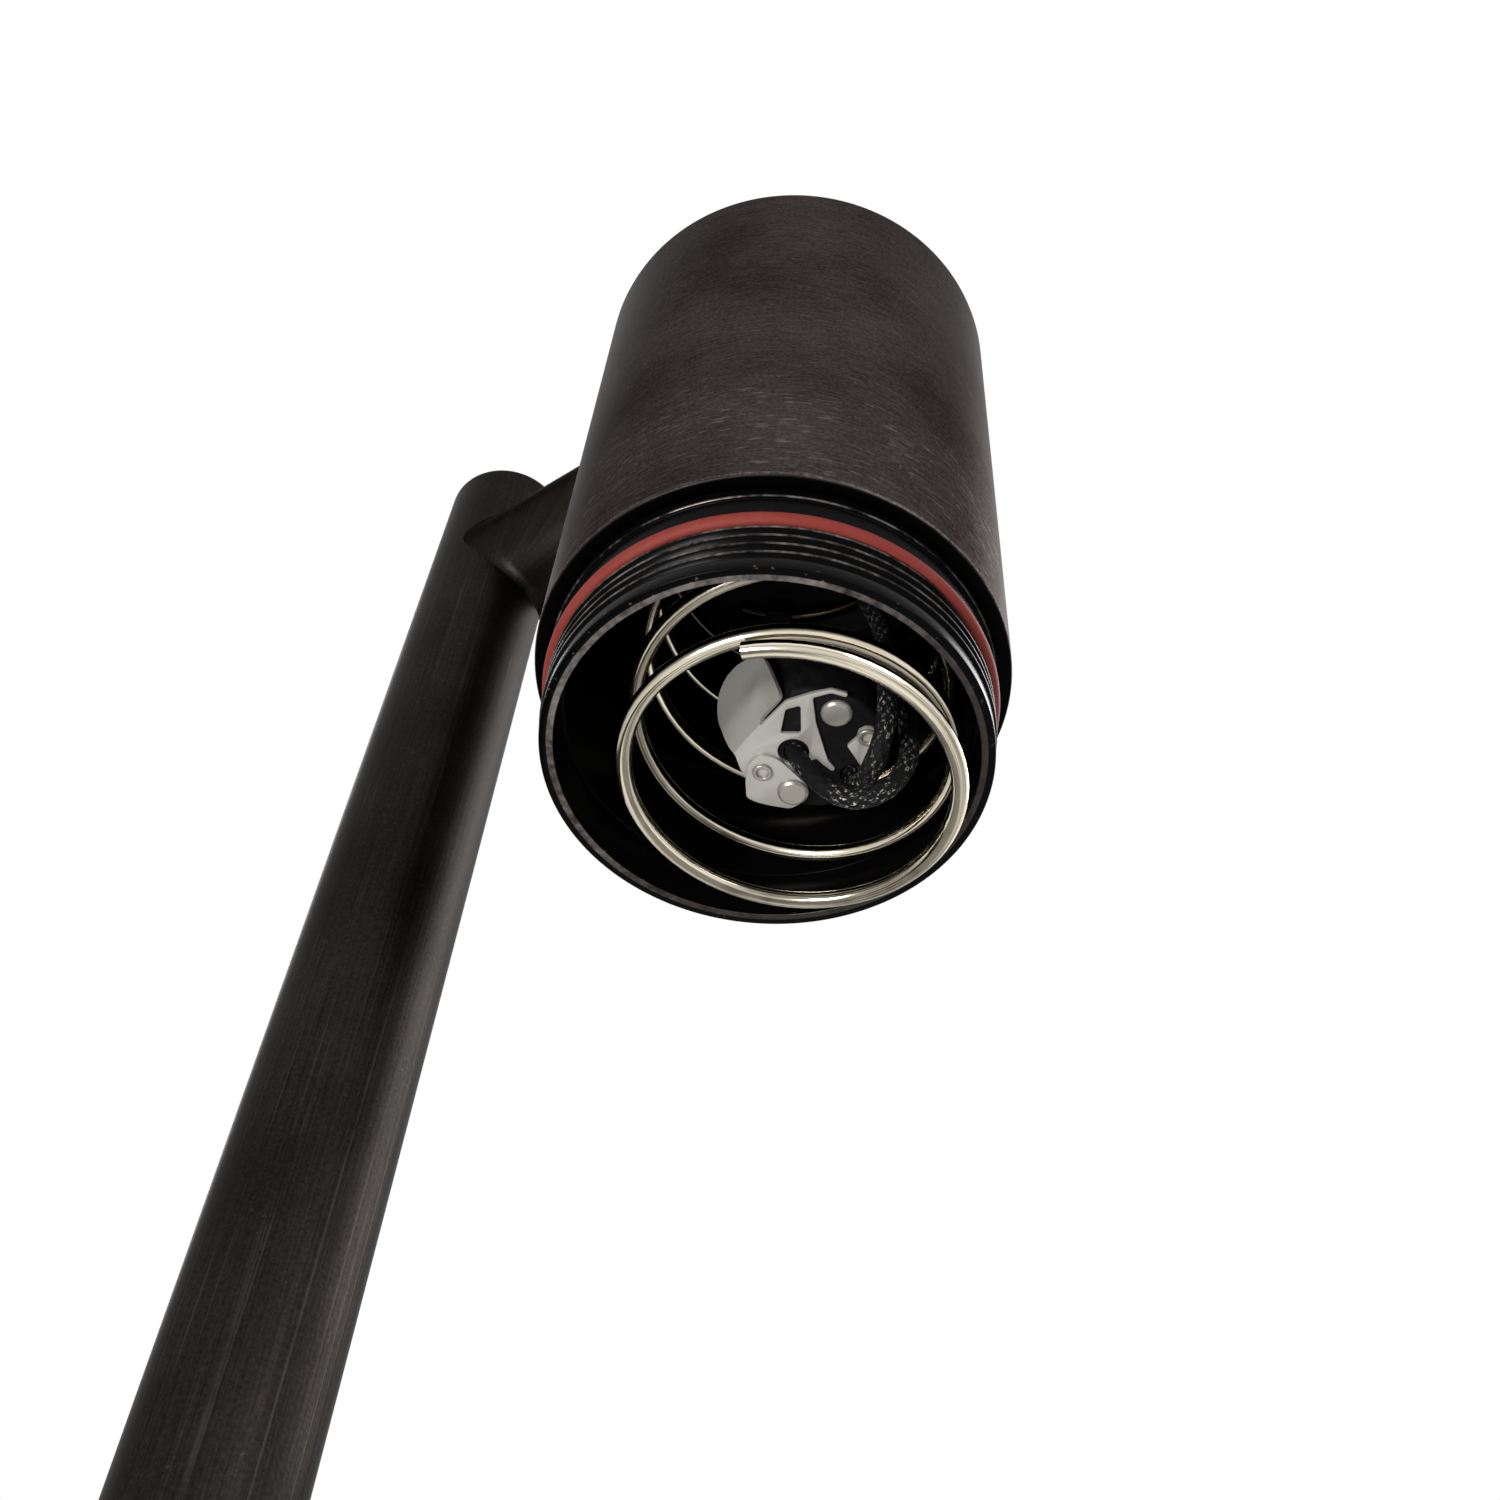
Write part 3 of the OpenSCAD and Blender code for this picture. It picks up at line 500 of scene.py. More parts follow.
def flat_face(points: Sequence[Point], widths: Sequence[float], steps: int) -> Mesh:
    """Makes one face with rounded corners.

    Args:
        points: its corners.
        widths: the rounding of each corner, 0 for none.
        steps: segments in each rounding.
    Returns:
        The flat mesh.
    """
    mesh = bmesh.new()
    corners = [mesh.verts.new(point) for point in points]
    mesh.faces.new(corners)
    for width in sorted({w for w in widths if w > 0}):
        picked = [c for c, w in zip(corners, widths) if w == width]
        bmesh.ops.bevel(mesh, geom=picked, offset=width, segments=steps, profile=0.5,
                        affect="VERTICES", material=-1)
    return mesh


def turned(outline: Outline, steps: int = 128, arc_steps: int = 4) -> Mesh:
    """Spins a closed outline about Z.

    Args:
        outline: each corner's radius, 0 on the axis, its height and, where it is soft, its rounding.
        steps: facets round the piece.
        arc_steps: segments in each rounding.
    Returns:
        The closed mesh, about the Z axis.
    """
    mesh = flat_face([(radius, 0.0, height) for radius, height, *_ in outline],
                     [sum(corner[2:]) for corner in outline], arc_steps)
    bmesh.ops.delete(mesh, geom=list(mesh.faces), context="FACES_ONLY")
    on_axis = [e for e in mesh.edges if all(abs(v.co.x) < SAME_LEVEL for v in e.verts)]
    bmesh.ops.delete(mesh, geom=on_axis, context="EDGES")
    return spun(mesh, steps)


def sheet_from(outline: Outline, soften: float | Sequence[float], thickness: float,
               edge: float = 0.0) -> Mesh:
    """Cuts a flat sheet to an outline and breaks its edges.

    Args:
        outline: the corners in X and Y, in millimetres.
        soften: the rounding of every corner, or of each.
        thickness: the sheet's thickness, along +Z.
        edge: the width of the broken edge.
    Returns:
        The closed mesh.
    """
    widths = [soften] * len(outline) if isinstance(soften, float) else soften
    mesh = thickened(flat_face([(x * MM, y * MM, 0.0) for x, y in outline], widths, 4), thickness)
    return broken(mesh, edge) if edge > 0 else mesh


def broken(mesh: Mesh, edge: float) -> Mesh:
    """Breaks the edges round both faces of a level sheet.

    Args:
        mesh: the sheet.
        edge: the width of the broken edge.
    Returns:
        The same mesh.
    """
    rims = [e for e in mesh.edges if len(e.link_faces) == 2 and e.calc_face_angle() > 1.2
            and abs(e.verts[0].co.z - e.verts[1].co.z) < SAME_LEVEL]
    bmesh.ops.bevel(mesh, geom=rims, offset=edge, segments=2, profile=0.5, affect="EDGES",
                    clamp_overlap=True, material=-1)
    return mesh


def rolled(across: int, along: int, place: Callable[[float, float], Vector], length: float = 1.0,
           caps: bool = True) -> Mesh:
    """Rolls a flat grid into a tube and keeps its map.

    Args:
        across: facets round the tube.
        along: facets along the tube.
        place: gives the point for a share round and a share along, both 0 to 1.
        length: the map's length along the tube, where 1 is once round it.
        caps: closes both ends.
    Returns:
        The mesh, with its map in the layer "UVMap".
    """
    mesh = bmesh.new()
    layer = mesh.loops.layers.uv.new("UVMap")
    bmesh.ops.create_grid(mesh, x_segments=across, y_segments=along, size=0.5, calc_uvs=True)
    for face in mesh.faces:
        for loop in face.loops:
            loop[layer].uv.y *= length
    for vert in mesh.verts:
        vert.co = place(vert.co.x + 0.5, vert.co.y + 0.5)
    bmesh.ops.remove_doubles(mesh, verts=list(mesh.verts), dist=SAME_SPOT)
    if caps:
        bmesh.ops.holes_fill(mesh, edges=[e for e in mesh.edges if e.is_boundary])
    return outward(mesh)


@dataclass
class Path:
    """A smooth line with a frame that doesn't twist, at even shares of its points."""

    points: list[Vector]
    sides: list[Vector] = field(init=False)
    tangents: list[Vector] = field(init=False)

    def __post_init__(self) -> None:
        """Carries one side direction along the line."""
        last = len(self.points) - 1
        self.tangents = [(self.points[min(i + 1, last)] - self.points[max(i - 1, 0)]).normalized()
                         for i in range(last + 1)]
        side = self.tangents[0].orthogonal().normalized()
        self.sides = []
        for tangent in self.tangents:
            side = (side - tangent * side.dot(tangent)).normalized()
            self.sides.append(side.copy())

    def length(self) -> float:
        """The line's length."""
        return sum((b - a).length for a, b in zip(self.points, self.points[1:]))

    def around(self, share: float, turn: float, radius: float) -> Vector:
        """A point at radius from the line.

        Args:
            share: how far along, from 0 to 1.
            turn: how far round, from 0 to 1.
            radius: the distance from the line.
        Returns:
            The point.
        """
        i = round(share * (len(self.points) - 1))
        other = self.tangents[i].cross(self.sides[i])
        angle = turn * math.tau
        return self.points[i] + radius * (math.cos(angle) * self.sides[i] + math.sin(angle) * other)

    def tube(self, radius: Callable[[float, float], float], sides: int) -> Mesh:
        """A closed tube round the line, with a radius for each share round and share along."""
        mean = radius(0.0, 0.5)
        return rolled(sides, len(self.points) - 1, lambda u, v: self.around(v, u % 1.0, radius(u % 1.0, v)),
                      length=self.length() / (math.tau * mean))


def smooth_line(points: Sequence[Vector], step: float) -> list[Vector]:
    """Rounds a route into a curve through its own points.

    Args:
        points: the route.
        step: the spacing of the result.
    Returns:
        Points on the curve, evenly spaced.
    """
    ends = [2 * points[0] - points[1], *points, 2 * points[-1] - points[-2]]
    fine = []
    for before, a, b, after in zip(ends, ends[1:], ends[2:], ends[3:]):
        for k in range(16):
            t = k / 16
            fine.append(0.5 * ((2 * a) + (b - before) * t + (2 * before - 5 * a + 4 * b - after) * t**2
                               + (3 * a - before - 3 * b + after) * t**3))
    fine.append(points[-1])
    walked = [0.0]
    for a, b in zip(fine, fine[1:]):
        walked.append(walked[-1] + (b - a).length)
    count = max(2, round(walked[-1] / step))
    line, k = [], 0
    for i in range(count + 1):
        goal = walked[-1] * i / count
        while k < len(walked) - 2 and walked[k + 1] < goal:
            k += 1
        span = walked[k + 1] - walked[k]
        line.append(fine[k].lerp(fine[k + 1], (goal - walked[k]) / span if span else 0.0))
    return line


def add_object(name: str, data: bpy.types.ID) -> bpy.types.Object:
    """Links a new object with this data into the scene."""
    made = bpy.data.objects.new(name, data)
    bpy.context.scene.collection.objects.link(made)
    return made


def as_data(name: str, mesh: Mesh) -> bpy.types.Mesh:
    """Turns the mesh, which is used up, into data for an object."""
    data = bpy.data.meshes.new(name)
    mesh.to_mesh(data)
    mesh.free()
    return data


def carve(mesh: Mesh, tool: Mesh, operation: str = "DIFFERENCE") -> Mesh:
    """Cuts or joins one closed mesh with another.

    Args:
        mesh: the mesh that is worked on; it is used up.
        tool: the other mesh; it is used up.
        operation: DIFFERENCE, INTERSECT or UNION.
    Returns:
        The result.
    """
    objects = [add_object("work", as_data("work", mesh)), add_object("tool", as_data("tool", tool))]
    modifier = objects[0].modifiers.new("carve", "BOOLEAN")
    modifier.object, modifier.operation, modifier.solver = objects[1], operation, "EXACT"
    result = bmesh.new()
    result.from_object(objects[0], bpy.context.evaluated_depsgraph_get())
    for made in objects:
        bpy.data.objects.remove(made)
    return result


def joined(first: Mesh, second: Mesh) -> Mesh:
    """Adds the second mesh's shells to the first, and gives back the first."""
    data = as_data("joined", second)
    first.from_mesh(data)
    bpy.data.meshes.remove(data)
    return first


def about(degrees: float, axis: str = "Z") -> Matrix:
    """A turn about an axis through the origin."""
    return Matrix.Rotation(math.radians(degrees), 4, axis)


def shift(x: float, y: float, z: float) -> Matrix:
    """A move without a turn."""
    return Matrix.Translation((x, y, z))


def move(mesh: Mesh, matrix: Matrix) -> Mesh:
    """Moves every point of the mesh by the matrix, and gives back the mesh."""
    bmesh.ops.transform(mesh, matrix=matrix, verts=list(mesh.verts))
    return mesh


# ---- the frame's own places ----
class Levels:
    """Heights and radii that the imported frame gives."""

    def __init__(self) -> None:
        """Reads the boxes of the CAD nodes."""
        shell, tube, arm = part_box("head_shell"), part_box("stem_tube"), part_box("support_arm")
        self.head_x, self.head_r = (shell[0].x + shell[1].x) / 2, (shell[1].x - shell[0].x) / 2
        self.shoulder_z, self.top_z = shell[0].z, shell[1].z
        self.rim_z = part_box("threaded_collar")[0].z
        self.plate_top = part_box("head_plate")[1].z
        self.holder_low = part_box("lampholder_bracket")[0].z
        self.stem_r, self.stem_foot, self.tube_top = tube[1].x, tube[0].z, tube[1].z
        self.stem_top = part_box("stem_cap")[1].z
        self.arm_z, self.arm_r = (arm[0].z + arm[1].z) / 2, (arm[1].z - arm[0].z) / 2

    def on_head(self, mesh: Mesh) -> Mesh:
        """Moves a mesh from the Z axis to the head's axis."""
        return move(mesh, shift(self.head_x, 0, 0))


@dataclass
class Assembly:
    """A part of the light, which turns its meshes into dressed pieces that ride on a CAD body."""

    levels: Levels
    finishes: Finishes
    body: str | None = "fixture"

    def piece(self, name: str, mesh: Mesh, slot: str, node: str, finish: str = "",
              sharp: float = 32.0) -> bpy.types.Object:
        """Makes an object that replaces a CAD node.

        Args:
            name: the piece's name.
            mesh: its mesh; it is used up.
            slot: the record's material slot.
            node: the CAD node.
            finish: the finish's name, if it isn't the slot's.
            sharp: the angle in degrees from which an edge stays sharp.
        Returns:
            The object.
        """
        data = as_data(name, mesh)
        data.shade_smooth()
        data.set_sharp_from_angle(angle=math.radians(sharp))
        data.materials.append(self.finishes.get(finish or slot))
        made = add_object(name, data)
        if self.body:
            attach(made, self.body)
        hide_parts(node)
        log.info("%s: %d faces on %s", name, len(data.polygons), self.body or "two bodies")
        return made

    def dress(self, **finishes: str) -> None:
        """Gives CAD nodes that stay their finishes, each as node=finish."""
        for node, finish in finishes.items():
            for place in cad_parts[node].material_slots:
                place.material = self.finishes.get(finish)
            log.info("%s: kept, in %s", node, finish)


# ---- sub-assemblies ----
@dataclass
class Head(Assembly):
    """The head's casting, its threaded collar and its O-ring."""

    wall: float = 3.3 * MM
    roof: float = 4.0 * MM
    top_round: float = 1.7 * MM
    low_chamfer: float = 0.5 * MM
    ledge: float = 1.5 * MM
    plate: float = 2.0 * MM
    groove_t: float = 1.3 * MM
    groove_depth: float = 0.8 * MM
    flange_r: float = 30.2 * MM
    flange_t: float = 1.5 * MM
    flange_seat: float = 2.0 * MM
    neck_r: float = 29.7 * MM
    thread_r: float = 29.6 * MM
    root_r: float = 28.7 * MM
    pitch: float = 1.87 * MM
    turns: int = 4
    pilot_r: float = 29.3 * MM
    pilot_len: float = 2.1 * MM
    rim_chamfer: float = 0.2 * MM
    rim_bore: float = 27.45 * MM
    inner_bore: float = 26.95 * MM
    step: float = 7.5 * MM
    plug_len: float = 12.0 * MM
    ring_t: float = 2.1 * MM
    ring_play: float = 0.3 * MM
    ring_r: float = 29.3 * MM
    groove_r: float = 28.25 * MM
    runout: float = 0.2
    foot: float = 0.42
    crest: float = 0.1
    thread_start: float = 130.0
    thread_rounds: float = 3.72
    thread_end: float = 0.12
    play: float = 0.05 * MM
    facets: int = 192

    def build_shell(self) -> None:
        """Turns the casting: a thick-walled cup with a soft top edge."""
        at, bore = self.levels, self.levels.head_r - self.wall
        ledge_r, seat_r, groove_r = bore - self.ledge, self.flange_r + self.play, bore + self.groove_depth
        roof_z, seat_z = at.top_z - self.roof, at.shoulder_z + self.flange_seat
        plate_z = at.plate_top - self.plate
        groove_z = plate_z - self.groove_t
        mesh = turned([
            (at.head_r, at.shoulder_z, self.low_chamfer), (at.head_r, at.top_z, self.top_round),
            (0, at.top_z), (0, roof_z), (ledge_r, roof_z, 1 * MM), (ledge_r, at.plate_top, 0.2 * MM),
            (bore, at.plate_top), (bore, plate_z), (groove_r, plate_z), (groove_r, groove_z),
            (bore, groove_z), (bore, seat_z), (seat_r, seat_z), (seat_r, at.shoulder_z, 0.15 * MM),
        ], self.facets, 6)
        self.piece("head_casting", at.on_head(mesh), "bronze_head", "head_shell")

    def thread(self, low: float) -> Mesh:
        """Winds the thread's ridge as a helix whose ends run out.

        Args:
            low: the height at which the thread starts.
        Returns:
            The ridge, sunk a little in the collar's root.
        """
        foot, crest = self.foot * self.pitch, self.crest * self.pitch
        inner, soft = self.root_r - 0.1 * MM, 0.05 * MM
        section = [(inner, -foot), (self.root_r, -foot), (self.thread_r - soft, -crest - soft),
                   (self.thread_r, -crest + soft), (self.thread_r, crest - soft),
                   (self.thread_r - soft, crest + soft), (self.root_r, foot), (inner, foot)]
        top = low + (self.turns - self.runout) * self.pitch - 0.02 * MM

        def place(u: float, v: float) -> Vector:
            """Finds a point of the ridge's skin.

            Args:
                u: the share round the section.
                v: the share along the helix.
            Returns:
                The point.
            """
            radius, height = section[round(u * len(section)) % len(section)]
            lap = v * self.thread_rounds
            whole = min(lap, self.thread_rounds - lap, self.thread_end) / self.thread_end
            radius = inner + (radius - inner) * max(whole, 0.05)
            angle = math.radians(self.thread_start) + math.tau * lap
            level = min(low + 0.06 * MM + lap * self.pitch + height, top + 0.01 * height)
            return Vector((radius * math.cos(angle), radius * math.sin(angle), level))

        return rolled(len(section), round(120 * self.thread_rounds), place)

    def build_collar(self) -> None:
        """Turns the collar and winds its thread."""
        at = self.levels
        rim, shoulder, bore = at.rim_z, at.shoulder_z, at.head_r - self.wall
        thread_z = rim + self.rim_chamfer + self.pilot_len
        groove_z = thread_z + (self.turns - self.runout) * self.pitch
        groove_top = groove_z + self.ring_t + self.ring_play
        low_z, seat_z = shoulder - self.flange_t, shoulder + self.flange_seat
        plug_z, step_z, plug_r = shoulder + self.plug_len, rim + self.step, bore - self.play
        mesh = turned([
            (self.rim_bore, rim, 0.12 * MM), (self.pilot_r, rim, self.rim_chamfer),
            (self.pilot_r, thread_z, 0.15 * MM), (self.root_r, thread_z), (self.root_r, groove_z),
            (self.groove_r, groove_z), (self.groove_r, groove_top), (self.neck_r, groove_top, 0.2 * MM),
            (self.neck_r, low_z, 0.15 * MM), (self.flange_r, low_z, 0.25 * MM), (self.flange_r, seat_z),
            (plug_r, seat_z), (plug_r, plug_z, 0.4 * MM), (self.inner_bore, plug_z, 0.2 * MM),
            (self.inner_bore, step_z, 0.12 * MM), (self.rim_bore, step_z),
        ], self.facets, 3)
        mesh = at.on_head(joined(mesh, self.thread(thread_z)))
        self.piece("turned_collar", mesh, "black_collar", "threaded_collar")
        ring = bmesh.new()
        bmesh.ops.create_circle(ring, segments=28, radius=self.ring_t / 2)
        move(ring, shift(self.ring_r, 0, (groove_z + groove_top) / 2) @ about(90, "X"))
        ring = at.on_head(spun(ring, self.facets))
        self.piece("seal_ring", ring, "red_silicone", "o_ring")

    def build(self) -> None:
        """Builds the head and dresses what it holds."""
        self.build_shell()
        self.build_collar()
        self.dress(
            head_plate="black_plate", retaining_ring="spring_steel", plate_grommet="black_rubber",
            arm_grommet="black_rubber", splice_1="red_splice", splice_2="red_splice")


@dataclass
class LampSpring(Assembly):
    """The round-wire spring: closed turns at both ends, leaning and tilted at its free end."""

    wire: float = 2.3 * MM
    free_r: float = 21.9 * MM
    seat_r: float = 20.6 * MM
    proud: float = 2.9 * MM
    turns: float = 5.6
    closed: float = 0.93
    seated: float = 0.3
    start: float = -71.7
    lean: float = 4.0 * MM
    lean_dir: float = 74.4
    lean_end: float = 0.156
    tilt: float = 4.67
    tilt_dir: float = 14.2
    spread: float = 1.03
    plate: float = 2.0 * MM
    play: float = 0.05 * MM
    pressed_share: float = 0.671
    steps: int = 72

    def line(self, turn: float) -> Vector:
        """Follows the wire's centre.

        Args:
            turn: the number of turns from its cut end.
        Returns:
            The point.
        """
        radius = self.wire / 2
        low = self.levels.rim_z - self.proud
        high = self.levels.plate_top - self.plate - radius - self.play
        pitch = self.spread * self.wire
        travel = high - low - radius
        open_turns = self.turns - self.closed - self.seated
        opened = min(max(turn - self.closed, 0.0), open_turns)
        rise = pitch * turn + (travel - pitch * self.turns) * opened / open_turns
        share = turn / self.turns
        tilt = math.radians(self.tilt * (1 - share))
        reach = self.free_r + (self.seat_r - self.free_r) * share
        angle = math.radians(self.start + 360 * turn)
        lean = self.lean * min(max(1 - rise / travel, 0.0) / self.lean_end, 1.0)
        aim = math.radians(self.lean_dir)
        drop = math.tan(tilt) * reach * math.cos(angle - math.radians(self.tilt_dir))
        return Vector((self.levels.head_x + lean * math.cos(aim) + reach * math.cos(angle),
                       lean * math.sin(aim) + reach * math.sin(angle), low + radius + rise - drop))

    def build(self) -> None:
        """Winds the wire."""
        count = round(self.turns * self.steps)
        path = Path([self.line(i / self.steps) for i in range(count + 1)])
        mesh = path.tube(lambda u, v: self.wire / 2, 20)
        coil = self.piece("wound_spring", mesh, "bright_wire", "lamp_spring", sharp=50)
        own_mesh(coil)


@dataclass
class Lampholder(Assembly):
    """The round lampholder with its bracket, tabs, eyelets and rivets."""

    body: str | None = "lampholder"
    turn: float = 37.0
    offset: tuple[float, float] = (2.9 * MM, 6.7 * MM)
    radius: float = 10.0 * MM
    body_t: float = 7.4 * MM
    cap_t: float = 5.0 * MM
    sheet: float = 0.6 * MM
    eyelet_at: tuple[float, float] = (-6.7 * MM, 3.4 * MM)
    rivet_at: tuple[float, float] = (-2.4 * MM, 6.5 * MM)
    eyelet_r: float = 1.35 * MM
    hollow_r: float = 0.8 * MM
    rivet_r: float = 2.1 * MM
    recess_r: float = 1.6 * MM
    recess_h: float = 1.4 * MM
    recesses: tuple = ((-2.55, 0.59), (5.25, 3.79))
    flat_at: float = 7.8 * MM
    broken_edge: float = 0.1 * MM
    wing_at: tuple[float, float] = (-7.1 * MM, -3.7 * MM)
    wing_dir: float = -59.3
    wing_lean: float = 20.0
    wing_bow: float = 0.5 * MM
    dimple_at: tuple[float, float] = (1.2 * MM, 5.0 * MM)
    dimple_r: float = 1.9 * MM
    dimple_depth: float = 0.35 * MM
    wing_outline: tuple = ((0, 0), (0.5, 0.5), (5, 0.4), (4, 8.6), (2.6, 9.9), (-0.5, 11.2), (-3.4, 11.4),
                           (-5.7, 10.6), (-7.2, 8.9), (-7.8, 6.8), (-7.4, 4.1), (-6.8, 1.3), (-6.2, 0))
    foot_outline: tuple = (
        (-10.5, 1.5), (-7.35, -3.85), (-4.4, -8.1), (-1.2, -9.7), (1.4, -10.6), (3.6, -10.1), (3.4, -9.5),
        (1.4, -10), (-0.9, -9), (-0.2, -5), (1.2, -0.8), (1.9, 1.2), (3, 2.5), (2.6, 3), (1.2, 1.9),
        (0.3, 1), (-0.8, 1.8), (-1.9, 2.7), (-3.4, 4.4), (-5.8, 6), (-8.4, 5.6), (-9.6, 4))
    foot_window: tuple = ((-4.3, -6.8), (-4.7, -2.8), (-2, -3), (-2.4, -7.6))
    port_at: tuple[float, float] = (-2.8 * MM, 0.1 * MM)
    port_r: float = 2.1 * MM
    tab_outline: tuple = (
        (-8.9, 4.9), (-8.7, 2.6), (-7.8, 1.3), (-6.5, 0.7), (-5.2, 1), (-4.3, 1.5), (-1.6, 4.2), (-0.5, 5.4),
        (-0.4, 7.2), (-1.2, 8.6), (-2.6, 9.6), (-5.4, 9.3), (-7.2, 8.9), (-8.6, 8.2))
    small_tab: tuple = ((4.2, -1.5), (5.3, -3), (5.5, -4.2), (6.3, -4.8), (7.2, -4.8), (8, -4.2),
                        (8.2, -3.2), (7.9, -2.3), (6.3, 1.7))

    def placed(self, mesh: Mesh, height: float = 0.0) -> Mesh:
        """Moves a mesh into the lampholder's turned axes, at a height over the bracket's lower face."""
        centre = shift(self.levels.head_x + self.offset[0], self.offset[1], self.levels.holder_low + height)
        return move(mesh, centre @ about(self.turn))

    def build_body(self) -> None:
        """Turns the wire-side half, cuts its flat and sinks the leads' recesses."""
        r, t = self.radius, self.body_t
        body = turned([(0, 0), (r, 0, 0.7 * MM), (r, t, 0.3 * MM), (0, t)], 96)
        block = bmesh.new()
        bmesh.ops.create_cube(block, size=4 * r)
        body = carve(body, move(block, about(self.wing_dir) @ shift(0, -self.flat_at - 2 * r, 0)))
        for x, y in self.recesses:
            body = carve(body, move(rod(self.recess_r, 2 * self.recess_h, 40), shift(x * MM, y * MM, 0)))
        body = self.placed(body, self.sheet)
        self.piece("holder_ceramic", body, "black_ceramic", "lampholder_body")
        self.dress(lampholder_cap="black_ceramic", contact_clip_1="plain_brass",
                            contact_clip_2="plain_brass")

    def bowed_wing(self) -> Mesh:
        """The wing, lying flat: cut from a fine grid, bowed across and pressed in by a small dimple."""
        grid = bmesh.new()
        bmesh.ops.create_grid(grid, x_segments=44, y_segments=44, size=9 * MM)
        move(thickened(grid, self.sheet), shift(-1.5 * MM, 5.5 * MM, 0))
        widths = [0.0, 0.2 * MM, *[0.9 * MM] * (len(self.wing_outline) - 3), 0.0]
        blank = sheet_from(self.wing_outline, widths, 4 * MM)
        plate = carve(grid, move(blank, shift(0, 0, -2 * MM)), "INTERSECT")
        for vert in plate.verts:
            across, up = (vert.co.x + 1.4 * MM) / (6.4 * MM), vert.co.y / (11 * MM)
            bend = self.wing_bow * across**2 * min(up * 2, 1.0)
            near = (vert.co - Vector((*self.dimple_at, vert.co.z))).length / self.dimple_r
            vert.co.z += self.dimple_depth * math.exp(-near**2) - bend
        return plate

    def build_foot(self) -> Mesh:
        """Cuts the bracket's foot with its window and the port that the first lead passes."""
        foot = sheet_from(self.foot_outline, 0.3 * MM, self.sheet)
        window = sheet_from(self.foot_window, 0.4 * MM, 3 * self.sheet)
        foot = carve(foot, move(window, shift(0, 0, -self.sheet)))
        port = move(rod(self.port_r, 4 * self.sheet, 40), shift(*self.port_at, 0))
        return broken(carve(foot, port), self.broken_edge)

    def build_bracket(self) -> None:
        """Cuts the bracket's foot, sets its wing on the fold and rounds the fold."""
        half = -self.wing_outline[-1][0] * MM / 2
        bend = move(rod(self.sheet, 2 * half, 32), shift(-half, 0, 0) @ about(90, "Y"))
        wing = move(self.bowed_wing(), about(90 + self.wing_lean, "X"))
        fold = shift(*self.wing_at, self.sheet) @ about(self.wing_dir)
        mesh = self.placed(joined(self.build_foot(), move(joined(wing, bend), fold)))
        self.piece("holder_bracket", mesh, "bracket_steel", "lampholder_bracket")

    def build_tabs(self) -> None:
        """Cuts the two terminal tabs, the large one under the bracket and the small one on the body."""
        large = sheet_from(self.tab_outline, 0.5 * MM, self.sheet, self.broken_edge)
        small = sheet_from(self.small_tab, 0.15 * MM, self.sheet, self.broken_edge)
        mesh = self.placed(joined(move(large, shift(0, 0, -self.sheet)), small))
        self.piece("holder_tabs", mesh, "bracket_steel", "terminal_tabs")

    def build_fasteners(self) -> None:
        """Turns the eyelets and the flat rivets, the first of each in the large tab."""
        high = self.sheet + self.body_t + self.cap_t
        lip, hollow, shank, disc, stalk = self.eyelet_r, self.hollow_r, 1.05 * MM, self.rivet_r, 0.85 * MM
        eyelets, rivets = bmesh.new(), bmesh.new()
        for sign, low, seat in ((1, -self.sheet, -self.sheet), (-1, 0.0, self.sheet)):
            foot, head, face, root = low - 0.5 * MM, high + 0.5 * MM, seat - 0.7 * MM, seat + 0.6 * MM
            eyelet = [(hollow, foot, 0.15 * MM), (lip, foot, 0.22 * MM), (lip, low), (shank, low),
                      (shank, high), (lip, high), (lip, head, 0.22 * MM), (hollow, head, 0.15 * MM)]
            rivet = [(0, face), (1.7 * MM, face, 0.15 * MM), (disc, seat - 0.3 * MM, 0.1 * MM),
                     (disc, seat), (stalk, seat), (stalk, root), (0, root)]
            for pair, outline, (x, y) in ((eyelets, eyelet, self.eyelet_at), (rivets, rivet, self.rivet_at)):
                joined(pair, move(turned(outline, 48), shift(sign * x, sign * y, 0)))
        for name, pair, node in (("holder_eyelets", eyelets, "bracket_eyelets"),
                                 ("contact_discs", rivets, "contact_rivets")):
            self.piece(name, self.placed(pair), "bright_rivet", node)

    def build(self) -> None:
        """Builds the lampholder."""
        self.build_body()
        self.build_bracket()
        self.build_tabs()
        self.build_fasteners()


